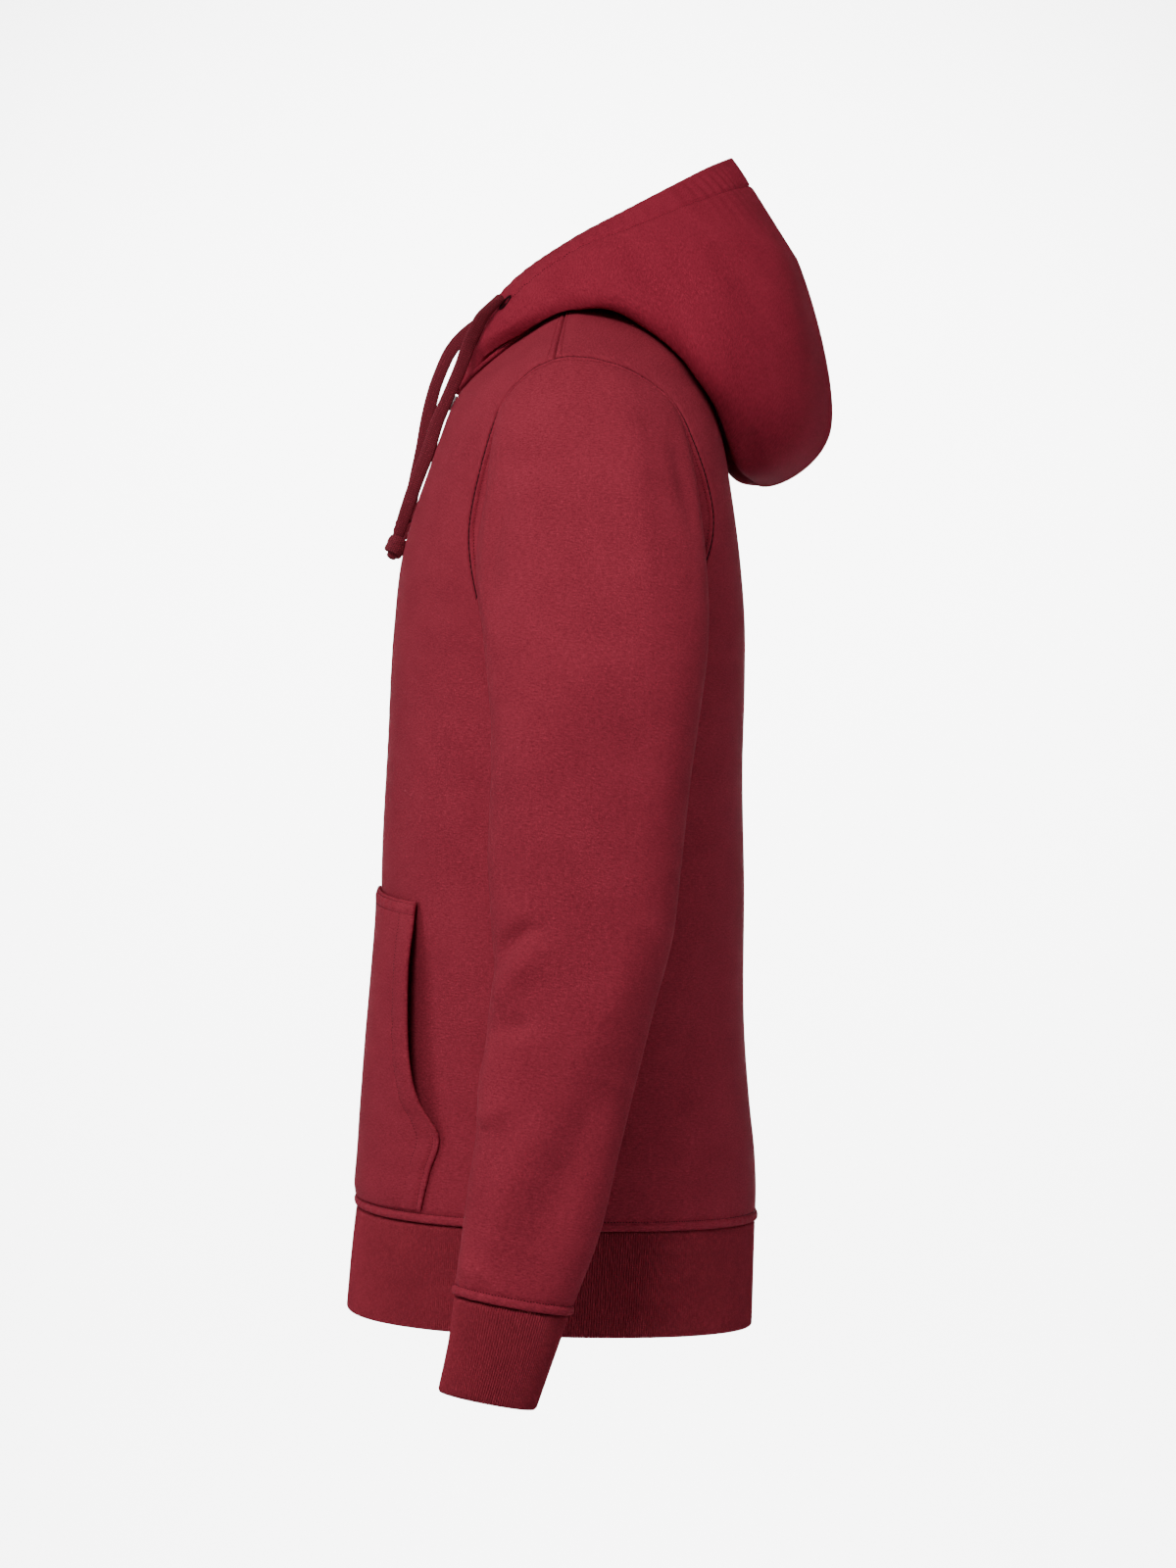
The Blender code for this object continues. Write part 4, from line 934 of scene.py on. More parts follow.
def add_node(tree: bpy.types.NodeTree, kind: str, **settings: object) -> bpy.types.Node:
    """Adds a shader node.

    Args:
        tree: The material's nodes.
        kind: The node's type without its first words, such as Math.
        settings: Its properties by name, and its inputs as wire has them.

    Returns:
        The node.
    """
    node = tree.nodes.new("ShaderNode" + kind)
    inputs = {key: value for key, value in settings.items() if key.startswith("in_")}
    for key in settings.keys() - inputs.keys():
        setattr(node, key, settings[key])
    wire(node, **inputs)
    return node


def ramp(tree: bpy.types.NodeTree, fac: Socket, *stops: tuple[float, str]) -> Socket:
    """Colours read along a number, as the output of a ramp."""
    node = add_node(tree, "ValToRGB", in_Fac=fac)
    elements = node.color_ramp.elements
    while len(elements) < len(stops):
        elements.new(0.5)
    for element, (place, colour) in zip(elements, stops):
        element.position = place
        element.color = linear(colour)
    return node.outputs[0]


def arithmetic(tree: bpy.types.NodeTree, operation: str, *values: object) -> Socket:
    """One step of arithmetic on numbers and outputs."""
    inputs = {f"in_{k}": value for k, value in enumerate(values)}
    return add_node(tree, "Math", operation=operation, **inputs).outputs[0]


@dataclass(frozen=True)
class Finish:
    """What every finish starts from: its name and its shader."""

    name: str

    def make(self) -> Material:
        """The material."""
        material = bpy.data.materials.new(self.name)
        material.use_nodes = True
        self.dress(material.node_tree, material.node_tree.nodes["Principled BSDF"])
        return material

    def dress(self, tree: bpy.types.NodeTree, shader: bpy.types.Node) -> None:
        """Adds the finish's own nodes to a new material."""


@dataclass(frozen=True)
class Knit(Finish):
    """Cotton knit: yarn loops under a short brushed nap, with thick and thin yarn in it."""

    dark: str
    middle: str
    light: str
    along: float = 0.0038
    across: float = 0.001
    slub: float = 0.44
    bump: float = 0.25
    sheen: float = 0.02
    roughness: float = 0.88
    nap: float = 0.0013

    def dress(self, tree: bpy.types.NodeTree, shader: bpy.types.Node) -> None:
        """Yarn, nap and slow clouds along the flat places of each piece, in metres."""
        grain = add_node(tree, "UVMap", uv_map="grain").outputs[0]
        heights = []
        for along, across in ((self.along, self.across), (self.nap, self.nap), (0.055, 0.045)):
            scale = (1 / along, 1 / across, 1.0)
            place = add_node(tree, "Mapping", in_Vector=grain, in_Scale=scale).outputs[0]
            made = add_node(tree, "TexNoise", in_Vector=place, in_Scale=1.0, in_Detail=2.0,
                in_Roughness=0.6)
            heights.append(made.outputs[0])
        yarn, nap, cloud = heights
        fine = arithmetic(tree, "MULTIPLY", nap, 0.46)
        both = arithmetic(tree, "ADD", fine, arithmetic(tree, "MULTIPLY", cloud, 0.16))
        mix = arithmetic(tree, "MULTIPLY_ADD", yarn, self.slub, both)
        lump = add_node(tree, "Bump", in_Strength=self.bump, in_Distance=0.0008, in_Height=mix)
        wire(shader, in_Base_Color=ramp(tree, mix, (0.4, self.dark), (0.59, self.middle),
            (0.8, self.light)), in_Normal=lump.outputs[0], in_Roughness=self.roughness,
            in_Specular_IOR_Level=0.03, in_Sheen_Weight=self.sheen, in_Sheen_Roughness=0.45,
            in_Sheen_Tint=linear("#c24f5c"))


@dataclass(frozen=True)
class KnitCord(Finish):
    """The finish of a flat knitted cord: small V stitches in close wales, dull and deep, with
    painted shade in the valleys between them.
    """

    dark: str
    middle: str
    light: str
    wale: float = 0.0017
    stitch: float = 0.0015

    def dress(self, tree: bpy.types.NodeTree, shader: bpy.types.Node) -> None:
        """Stitches that follow the cord's own flat places, in metres."""
        grain = add_node(tree, "UVMap", uv_map="grain").outputs[0]
        split = add_node(tree, "SeparateXYZ", in_0=grain)
        maths = partial(arithmetic, tree)
        across = maths("PINGPONG", maths("DIVIDE", split.outputs[0], self.wale), 0.5)
        slant = maths("MULTIPLY_ADD", across, 1.3, maths("DIVIDE", split.outputs[1], self.stitch))
        loop = maths("SINE", maths("MULTIPLY", slant, 2 * math.pi))
        belly = maths("SINE", maths("MULTIPLY", across, 2 * math.pi))
        height = maths("MULTIPLY_ADD", loop, 0.28, maths("MULTIPLY_ADD", belly, 0.42, 0.3))
        fibre = add_node(tree, "TexNoise", in_Vector=grain, in_Scale=2600.0)
        mix = maths("MULTIPLY_ADD", fibre.outputs[0], 0.25, height)
        lump = add_node(tree, "Bump", in_Strength=0.8, in_Distance=0.0005, in_Height=mix)
        # the colour follows the stitches' height: painted shade in the valleys, lighter on the
        # loop tops
        wire(shader, in_Base_Color=ramp(tree, mix, (0.12, self.dark), (0.5, self.middle),
            (0.85, self.light)), in_Normal=lump.outputs[0], in_Roughness=0.85,
            in_Specular_IOR_Level=0.2, in_Sheen_Weight=0.1, in_Sheen_Tint=linear("#a8424f"))


@dataclass(frozen=True)
class Hard(Finish):
    """A cast or moulded finish: its colour and gloss vary by a grain of a real size."""

    shade: str
    colour: str
    shade_at: float
    grain: float
    detail: float
    gloss: Pair
    metallic: float = 0.0

    def dress(self, tree: bpy.types.NodeTree, shader: bpy.types.Node) -> None:
        """Grain in the object's own places."""
        place = add_node(tree, "TexCoord").outputs["Object"]
        grain = add_node(tree, "TexNoise", in_Vector=place, in_Scale=1 / self.grain,
            in_Detail=self.detail).outputs[0]
        low, high = self.gloss
        rough = add_node(tree, "MapRange", in_Value=grain, in_To_Min=low, in_To_Max=high)
        wire(shader,
            in_Base_Color=ramp(tree, grain, (self.shade_at, self.shade), (0.6, self.colour)),
            in_Roughness=rough.outputs[0], in_Metallic=self.metallic)


def ready(finish: Finish) -> Material:
    """A dataclass field that makes a finish when it is first needed."""
    return field(default_factory=finish.make)


@dataclass
class Finishes:
    """Every finish of the garment, made once."""

    # brushed-back jersey: a matt, slightly heathered face whose thick yarns run across
    jersey: Material = ready(Knit("cotton jersey, brushed back", "#70212e", "#872c3a", "#9e3949"))
    # the hood is cut along its length, so its yarns run up and down
    hood: Material = ready(Knit("cotton jersey, cut lengthwise", "#6e1c2a", "#852636", "#973142",
        0.001, 0.0038))
    # 1x1 rib: smooth round wales, closer and a little deeper in colour than the jersey
    rib: Material = ready(Knit("cotton rib, one by one", "#782733", "#90323f", "#a23c4b", 0.0008,
        0.004, 0.3, 0.2))
    # flat knitted cord, denser and duller than the jersey; its colour carries painted shade
    # between the stitches
    cord: Material = ready(KnitCord("cotton cord, flat knitted", "#29080f", "#5c1824", "#7c2533"))
    # polyester sewing thread; its colour is set much darker than the cloth, as painted shade of
    # the dents and ditches that the stitches sit in
    thread: Material = ready(Knit("polyester thread, darkened as painted shade", "#1a0509", "#270810",
        "#350d16", 0.0006, 0.0006, sheen=0.1, roughness=0.6))
    # woven polyester zip tape, flat and even
    tape: Material = ready(Knit("polyester tape, woven", "#4f0e1b", "#621423", "#751d2d", 0.0008,
        0.0012, sheen=0.15))
    # moulded teeth, dyed a little deeper than their tape, with a soft gloss on their edges
    teeth: Material = ready(Hard("polyacetal, moulded", "#3f101a", "#4d1420", 0.4, 0.0004, 2.0,
        (0.3, 0.46)))
    # bright plating on a casting: hard white glints and a faint tumbled grain
    metal: Material = ready(Hard("plated zinc, tumbled", "#a9a9ad", "#cfcfd1", 0.35, 0.0006, 3.0,
        (0.18, 0.34), 1.0))


# ---- what every piece is given ----
def dress(piece: Object, node: str | None, slot: str, body: str = GARMENT) -> None:
    """Lets a piece move with its body and stand for a solid.

    Args:
        piece: The finished object.
        node: The solid that it stands for, if it does.
        slot: Not used.
        body: The body that it moves with.
    """
    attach(piece, body)
    if node:
        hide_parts(node)
    LOG.info("%s: %d faces", piece.name, len(piece.data.polygons))


@dataclass(frozen=True)
class Cut:
    """How a piece of cloth was cut, how it is held and which finish slot it has."""

    flat: Pair
    area: float | None = None
    held: str = "hung"
    slot: str = FLEECE_SLOT

    def dress(self, piece: Object, node: str, on: str) -> None:
        """Dresses a piece."""
        dress(piece, node, self.slot)


# ---- body ----
FINE_ROWS = 10
FINE_COLUMNS = 9
BODY_ROWS = 9 * FINE_ROWS
FRONT_ROWS = 9 * FINE_ROWS
BACK_ROWS = 11 * FINE_ROWS
NECK_COLUMNS = 7 * FINE_COLUMNS
SHOULDER_COLUMNS = 5 * FINE_COLUMNS

# the seam allowance that stands above each rib, then the dent of its stitches
WELT = Table("distance lift", ((0.0, 0.0), (0.0003, 0.0008), (0.0009, 0.0013), (0.0022, 0.0016),
    (0.0036, 0.0016), (0.0047, 0.0011), (0.0053, 0.0002), (0.0058, -0.0006), (0.0064, -0.0006),
    (0.0074, 0.0), (0.01, 0.0)))
WELT_STITCH = 0.0061
WELT_LINES = (0.0, 0.0003, 0.0009, 0.0015, 0.0022, 0.003, 0.0036, 0.0042, 0.0047, 0.0053, 0.0058,
    0.0064, 0.0074, 0.01)
# a row of topstitching in its dent, at two distances from a seam
STITCHED = Table("distance lift", ((0, -0.0019), (0.0003, -0.0016), (0.0007, -0.0007),
    (0.0012, -0.0001), (0.0022, 0.0003), (0.0036, 0.0004), (0.0047, 0.0001), (0.0053, -0.0006),
    (0.0058, 0.0), (0.0068, 0)))
STITCHED_LINES = tuple(STITCHED.column("distance"))
STITCHED_AT = 0.0053


def filled_between(bottom: Array, top: Array, left: Array, right: Array) -> Array:
    """A grid of points between four edge lines that share their corners."""
    u = shares(len(bottom))[None, :, None]
    v = shares(len(left))[:, None, None]
    corners = ((1 - u) * (1 - v) * bottom[0] + u * (1 - v) * bottom[-1] + (1 - u) * v * top[0] + u
        * v * top[-1])
    ruled = (1 - v) * bottom[None] + v * top[None] + (1 - u) * left[:, None] + u * right[:, None]
    return ruled - corners


# rounds of easing that take a corner of the outline out of the lines inside it
PANEL_ROUNDS = 60


def panel(bottom: Array, top: Array, left: Array, right: Array) -> Array:
    """A piece of the torso between its four seams, with half a seam's gap off each."""
    points = filled_between(bottom, top, left, right)
    for _ in range(PANEL_ROUNDS):
        beside = points[1:-1, 2:] + points[1:-1, :-2]
        points[1:-1, 1:-1] = (points[2:, 1:-1] + points[:-2, 1:-1] + beside) / 4
    points[1:-1, 1:-1] = TORSO.onto(points[1:-1, 1:-1])
    for edge in Edge:
        grid = Cloth.turned(points, edge)
        tangent = unit(np.gradient(grid[0], axis=0))
        grid[0] += unit(square_to(grid[1] - grid[0], tangent)) * HALF_GAP
    return points


@dataclass
class Body:
    """The two fronts and the back, cut from the torso at the seams."""

    finishes: Finishes
    front_creases: tuple[Crease, ...] = (
        Crease(((-0.1, -0.27), (-0.1015, -0.3317), (-0.101, -0.39)), -0.0012, 0.012),
        Crease(((-0.07, -0.25), (-0.064, -0.31), (-0.056, -0.37)), 0.0018, 0.01),
        Crease(((-0.07, -0.46), (-0.052, -0.52), (-0.03, -0.57)), 0.0016, 0.014),
    )
    back_creases: tuple[Crease, ...] = (
        Crease(((0.094, -0.2), (0.086, -0.25), (0.075, -0.31)), 0.002, 0.01, 0.0),
        Crease(((0.096, -0.42), (0.086, -0.49), (0.06, -0.55)), 0.0018, 0.014, 0.0),
        Crease(((0.096, -0.33), (0.09, -0.39), (0.08, -0.45)), -0.0014, 0.014, 0.0),
    )
    front_cut: Cut = Cut((0.305, 0.64), 0.141)
    back_cut: Cut = Cut((0.6, 0.665), 0.307)
    loop: Array = field(init=False)
    inwards: Array = field(init=False)

    def __post_init__(self) -> None:
        """Follows the armhole once, for the mitred seams."""
        self.loop = SEAMS.armhole_loop(9 * 40, 11 * 40)
        _, self.inwards, _ = SEAMS.armhole_ways(self.loop, 40)

    def front_points(self) -> Array:
        """Outer points of the left front, from the rib up and from the zip outwards."""
        body = np.linspace(HEM_SEAM[0], CHEST_LEVEL, BODY_ROWS + 1)
        chest = np.linspace(CHEST_LEVEL, FRONT_NECK, FRONT_ROWS + 1)
        heights = joined(body, chest)
        left = TORSO.points(TORSO.turn_at_x(heights, ZIP_EDGE), heights)
        side = SEAMS.side(HEM_SEAM[1], ARMPIT, BODY_ROWS)
        right = joined(side, SEAMS.armhole(SEAMS.armhole_front, FRONT_ROWS))
        top = joined(SEAMS.neck(False, NECK_COLUMNS), SEAMS.shoulder(SHOULDER_COLUMNS))
        turns = np.linspace(float(TORSO.turn_at_x(HEM_SEAM[0], ZIP_EDGE)), QUARTER, 200)
        bottom = TORSO.line(turns, hem_seam(turns), NECK_COLUMNS + SHOULDER_COLUMNS)
        left[0], left[-1], right[0], right[-1] = bottom[0], top[0], bottom[-1], top[-1]
        return panel(bottom, top, left, right)

    def back_points(self) -> Array:
        """Outer points of the back's left half, from the side seam to the centre."""
        side = SEAMS.side(HEM_SEAM[1], ARMPIT, BODY_ROWS)
        left = joined(side, SEAMS.armhole(SEAMS.armhole_back, BACK_ROWS))
        shoulder, neck = SEAMS.shoulder(SHOULDER_COLUMNS), SEAMS.neck(True, NECK_COLUMNS)
        top = joined(shoulder[::-1], neck[::-1])
        turns = np.linspace(QUARTER, HALF, 200)
        bottom = TORSO.line(turns, hem_seam(turns), NECK_COLUMNS + SHOULDER_COLUMNS)
        right = SEAMS.side(HEM_SEAM[2], BACK_NECK, BODY_ROWS + BACK_ROWS, HALF)
        left[0], left[-1], right[0], right[-1] = bottom[0], top[0], bottom[-1], top[-1]
        points = panel(bottom, top, left, right)
        points[:, -1] = right
        points[:, -1, 0] = 0.0
        return points

    def mitre(self, cloth: Cloth, edge: Edge) -> None:
        """Turns an armhole's edge into the hollow, as its neighbour's is."""
        line, downs = (Cloth.turned(grid, edge)[0] for grid in (cloth.points, cloth.downs))
        rows = np.flatnonzero(line[:, 2] > ARMPIT + 0.004)
        mirror = MIRROR if line[:, 0].mean() < 0 else np.ones(3)
        away = np.linalg.norm((line * mirror)[rows, None] - self.loop[None], axis=-1)
        downs[rows] = self.inwards[np.argmin(away, axis=1)] * mirror

    @staticmethod
    def mitre_neck(cloth: Cloth) -> None:
        """Turns the neckline's edge into the hollow, as the hood's is."""
        top = cloth.points[-1]
        at_neck = np.abs(top[:, 0]) < 0.0885
        cloth.downs[-1, at_neck] = SEAMS.neck_ways(top[at_neck])[1]

    def front(self, creases: tuple[Crease, ...]) -> Cloth:
        """One front, the wearer's left, as cloth."""
        cloth = Cloth(self.front_points(), FLEECE)
        zip_side = (*FOLD_LINES, 0.0052, 0.0057, 0.0062, 0.007)
        cloth.lined(last=CLOSE, first=zip_side, high=STITCHED_LINES, low=WELT_LINES)
        self.mitre(cloth, LAST)
        self.mitre_neck(cloth)
        cloth.crease(creases)
        cloth.fold_over(FIRST)
        cloth.raised(last=SEAM, first=self.zip_stitch, high=STITCHED, low=WELT)
        cloth.pucker(LOW, 0.004, 0.006, 0.0005, 0.012)
        cloth.pucker(FIRST, 0.004, 0.006, 0.0003, 0.017)
        cloth.pucker(LAST, 0.003, 0.006, 0.0002, 0.013)
        return cloth

    zip_stitch: Table = Table("distance lift",
        ((0.0, 0.0), (0.004, 0.0002), (0.0052, 0.0), (0.0057, -0.00028), (0.0062, 0.0)))

    def back(self) -> Cloth:
        """The back as cloth, both halves in one."""
        left = self.back_points()
        points = np.concatenate([left, flipped(left)[:, 1:]], axis=1)
        cloth = Cloth(points, FLEECE)
        cloth.lined(first=CLOSE, last=CLOSE, high=STITCHED_LINES, low=WELT_LINES)
        for edge in (FIRST, LAST):
            self.mitre(cloth, edge)
        self.mitre_neck(cloth)
        cloth.crease(self.back_creases)
        cloth.raised(first=SEAM, last=SEAM, high=STITCHED, low=WELT)
        cloth.pucker(LOW, 0.004, 0.006, 0.0005, 0.012)
        return cloth

    def build(self) -> None:
        """Makes the three pieces and their stitches."""
        box = SewingBox("body_stitches")
        left = self.front(self.front_creases)
        box.row(left, LOW, WELT_STITCH)
        box.row(left, HIGH, STITCHED_AT)
        box.row(left, FIRST, 0.0057)
        box.both_sides()
        names = ("front_panel_left", "front_panel_right")
        made, twin = pair(left, names, self.finishes.jersey)
        back = self.back()
        box.row(back, LOW, WELT_STITCH)
        box.row(back, HIGH, STITCHED_AT)
        whole = sewn(back, "back_panel", self.finishes.jersey, back.points.shape[1] // 2)
        box.finish(self.finishes.thread)
        self.front_cut.dress(made, "front_left", "back_panel")
        self.front_cut.dress(twin, "front_right", "back_panel")
        self.back_cut.dress(whole, "back", "sleeve_left")


# ---- sleeves and ribs ----
@dataclass
class Tube:
    """A ring table: where each level ring of an arm lies and how wide it is."""

    table: Table
    power: float = 2.15

    def ring(self, height: float, turns: Array) -> Array:
        """A ring: turn 0 on the body's side, a quarter at the front, a half outside."""
        front, back = self.table.read("front_y", height), self.table.read("back_y", height)
        across, along = -np.cos(turns), -np.sin(turns)
        reach = rounded_square(across, along, self.power)
        wide = self.table.read("half_width", height)
        x = self.table.read("centre_x", height) + wide * across * reach
        offset = (back - front) / 2 * along * reach
        z = height + self.table.read("tilt", height) * offset
        return np.stack([x, (front + back) / 2 + offset, z], axis=-1)


ARM = Tube(Table("height front_y back_y centre_x half_width tilt",
    ((-0.295, -0.0525, 0.0815, 0.264, 0.062, 0.06), (-0.33, -0.0528, 0.0765, 0.266, 0.061, 0.05),
    (-0.39, -0.0552, 0.0698, 0.269, 0.058, 0.04), (-0.432, -0.0532, 0.0646, 0.271, 0.0555, 0.02),
    (-0.471, -0.0545, 0.054, 0.2735, 0.052, 0.0), (-0.504, -0.0588, 0.045, 0.2765, 0.0485, -0.06),
    (-0.565, -0.064, 0.0295, 0.281, 0.0435, -0.12), (-0.612, -0.069, 0.018, 0.284, 0.04, -0.16),
    (-0.6645, -0.0758, -0.0015, 0.287, 0.0345, -0.185))))
WRIST = Tube(Table("height front_y back_y centre_x half_width tilt",
    ((-0.665, -0.0752, -0.0024, 0.287, 0.0339, -0.185),
    (-0.692, -0.0785, -0.0118, 0.288, 0.0322, -0.19),
    (-0.716, -0.0835, -0.0202, 0.2887, 0.032, -0.195),
    (-0.7258, -0.0857, -0.0236, 0.289, 0.031, -0.195))))
ELBOW_FOLDS = Table("height climb depth reach side", ((-0.405, 0.03, 0.0016, 0.022, 0.25),
    (-0.45, -0.034, 0.003, 0.02, 0.22), (-0.498, -0.04, 0.0026, 0.02, 0.2),
    (-0.556, 0.03, 0.0018, 0.024, 0.3)))


@dataclass
class Sleeve:
    """One sleeve of the pair, from the cuff's seam up to the armhole."""

    finishes: Finishes
    # the way of each crease, its depth and width, and the side that it lies on; the last three
    # are on the inside of the arm, and the three before them are slow folds where it bends
    creases: tuple[Crease, ...] = tuple(Crease(*row) for row in (
        (((-0.0452, -0.1243), (-0.0539, -0.1472), (-0.057, -0.1646), (-0.0595, -0.182), (-0.0595,
            -0.1969), (-0.057, -0.2155), (-0.052, -0.2348)), -0.0026, 0.0042, 0.0),
        (((-0.0421, -0.1454), (-0.0489, -0.1671), (-0.052, -0.1857), (-0.0502, -0.2013)), 0.003,
            0.0055),
        (((0.0659, -0.1032), (0.0703, -0.1205), (0.0746, -0.1454), (0.0802, -0.1733)), 0.0036,
            0.006),
        (((-0.0471, -0.4465), (-0.0409, -0.4341), (-0.0316, -0.426), (-0.0222, -0.4235)), 0.0048,
            0.0065),
        (((-0.0502, -0.4714), (-0.0427, -0.462), (-0.0334, -0.4496), (-0.0241, -0.4372)), -0.0052,
            0.0085),
        (((-0.0489, -0.49), (-0.0384, -0.4869), (-0.0272, -0.4838)), 0.004, 0.0085),
        (((-0.0595, -0.549), (-0.052, -0.5428), (-0.0396, -0.5353)), -0.0042, 0.009),
        (((0.0256, -0.5179), (0.0038, -0.5676), (-0.0241, -0.6359)), 0.0066, 0.016),
        (((-0.0148, -0.5365), (-0.0334, -0.58), (-0.0471, -0.6173)), -0.0054, 0.013),
        (((-0.0707, -0.6359), (-0.0645, -0.6421), (-0.0558, -0.6458)), -0.0026, 0.006),
        (((0.055, -0.25), (0.035, -0.33), (0.03, -0.41)), 0.003, 0.02),
        (((-0.015, -0.27), (-0.025, -0.34), (-0.02, -0.4)), -0.0026, 0.018),
        (((0.042, -0.43), (0.025, -0.47), (0.005, -0.5)), -0.0032, 0.015),
        (((-0.03, -0.34), (0.0, -0.37), (0.035, -0.385)), 0.0022, 0.007, -1.0),
        (((-0.035, -0.42), (-0.005, -0.445), (0.025, -0.455)), 0.0026, 0.008, -1.0),
        (((-0.04, -0.52), (-0.015, -0.55), (0.015, -0.565)), 0.002, 0.008, -1.0),
    ))
    front_columns: int = 9 * 8
    back_columns: int = 11 * 8
    cap_rows: int = 56
    arm_rows: int = 150
    cap_reach: float = 0.75
    cut: Cut = Cut((0.43, 0.64), 0.198)
    inwards: Array = field(init=False)

    def turns(self, loop: Array) -> Array:
        """The turn of each armhole point, with the shoulder tip at a half turn."""
        along = lengths(closed(loop))
        tip = along[self.front_columns]
        front = HALF * along[: self.front_columns + 1] / tip
        back = HALF + HALF * (along[self.front_columns + 1 : -1] - tip) / (along[-1] - tip)
        return np.concatenate([front, back])

    def points(self) -> Array:
        """Outer points of the left sleeve."""
        loop = SEAMS.armhole_loop(self.front_columns, self.back_columns)
        start, self.inwards, outwards = SEAMS.armhole_ways(loop, 8)
        turns = self.turns(loop)
        first = loop + outwards * HALF_GAP
        heights = ARM.table.column("height")
        heights = np.linspace(heights[0], heights[-1], self.arm_rows + 1)
        last, below = ARM.ring(heights[0], turns), ARM.ring(heights[0] - 0.01, turns)
        chord = np.linalg.norm(last - first, axis=-1, keepdims=True)
        leaving, arriving = start * chord * self.cap_reach, unit(below - last) * chord
        rings = []
        for t in shares(self.cap_rows + 1):
            rings.append(hermite(t, first, leaving, last, arriving))
        rings += [ARM.ring(height, turns) for height in heights[1:]]
        points = np.stack(rings)[::-1]
        sunk = np.zeros(points.shape[:-1])
        for height, climb, deep, reach, side in ELBOW_FOLDS.rows:
            middle = height + climb * (1 - np.cos(turns - QUARTER)) / 2
            strength = 0.5 + 0.5 * np.cos(turns - side * HALF * 2)
            sunk += deep * strength * bell(points[..., 2] - middle, reach)
        points = points - Cloth(points, FLEECE, True).normals(points) * sunk[..., None]
        points[-1] = first
        return self.set_in(points[::-1])[::-1]

    def set_in(self, points: Array) -> Array:
        """Lays the cap flat beside the armhole before it turns up into the tube.

        Args:
            points: Rings of the sleeve, from the armhole down.

        Returns:
            The rings with the fold in them.
        """
        width = self.flat_strip.read("width", points[0, :, 2])
        along = lengths(points)
        moved = points.copy()
        flat = unit((np.array(self.armhole_middle) - points[0]) * np.array([0.0, 1.0, 1.0]))
        flat = unit(flat + np.array([0.3, 0.0, 0.0]))
        for j in np.flatnonzero(width > 0.0003):
            reach = along[:, j]
            shift = width[j] * np.tanh(reach / width[j]) * (1 - smooth_step(reach, 0.02, 0.15))
            held = read_along(reach - shift, reach, points[:, j])
            moved[:, j] = held + flat[j] * shift[:, None]
        return moved

    armhole_middle: Point = (0.19, 0.012, -0.15)
    flat_strip: Table = Table("height width", ((-0.245, 0.0), (-0.235, 0.002), (-0.215, 0.0045),
        (-0.198, 0.0075), (-0.182, 0.0105), (-0.165, 0.012), (-0.147, 0.0125), (-0.124, 0.01),
        (-0.1, 0.004), (-0.08, 0.0)))

    def cloth(self, creases: tuple[Crease, ...]) -> Cloth:
        """The left sleeve as cloth."""
        cloth = Cloth(self.points(), FLEECE, True)
        cloth.lined(high=tuple(self.armhole_seam.column("distance")), low=WELT_LINES)
        cloth.downs[-1] = self.inwards
        cloth.crease(creases)
        cloth.raised(high=self.armhole_seam, low=WELT)
        cloth.pucker(LOW, 0.004, 0.006, 0.0005, 0.012)
        cloth.pucker(HIGH, 0.0042, 0.006, 0.0002, 0.016)
        return cloth

    # the seam's allowance is pressed to the sleeve and held by two rows of stitches
    armhole_seam: Table = Table("distance lift", ((0.0, -0.0019), (0.0003, -0.0016),
        (0.0007, -0.0007), (0.0012, -0.0001), (0.0022, 0.0004), (0.0032, 0.0003),
        (0.0038, -0.0002), (0.0042, -0.0006), (0.0046, -0.0002), (0.006, 0.0)))

    def build(self) -> None:
        """Makes both sleeves, the right one creased in its own way."""
        box = SewingBox("sleeve_stitches")
        left = self.cloth(self.creases)
        box.row(left, HIGH, 0.0042)
        # the dark line in the armhole's ditch, partly painted shade
        box.row(left, HIGH, 0.0009, thread=DITCH_SHADE_THREAD)
        box.row(left, LOW, WELT_STITCH)
        box.both_sides()
        box.finish(self.finishes.thread)
        half = (self.front_columns + self.back_columns) // 2
        right = self.cloth(mirrored(self.creases, 0.8))
        made = sewn(left, "left_sleeve", self.finishes.jersey, half)
        twin = turned_over(sewn(right, "blank", self.finishes.jersey, half), "right_sleeve")
        self.cut.dress(made, "sleeve_left", "back_panel")
        self.cut.dress(twin, "sleeve_right", "back_panel")


# the outside of one rib and the groove beside it, over its width
WALE = (-1.5, -0.45, 0.66, 1.0, 0.66, -0.45)


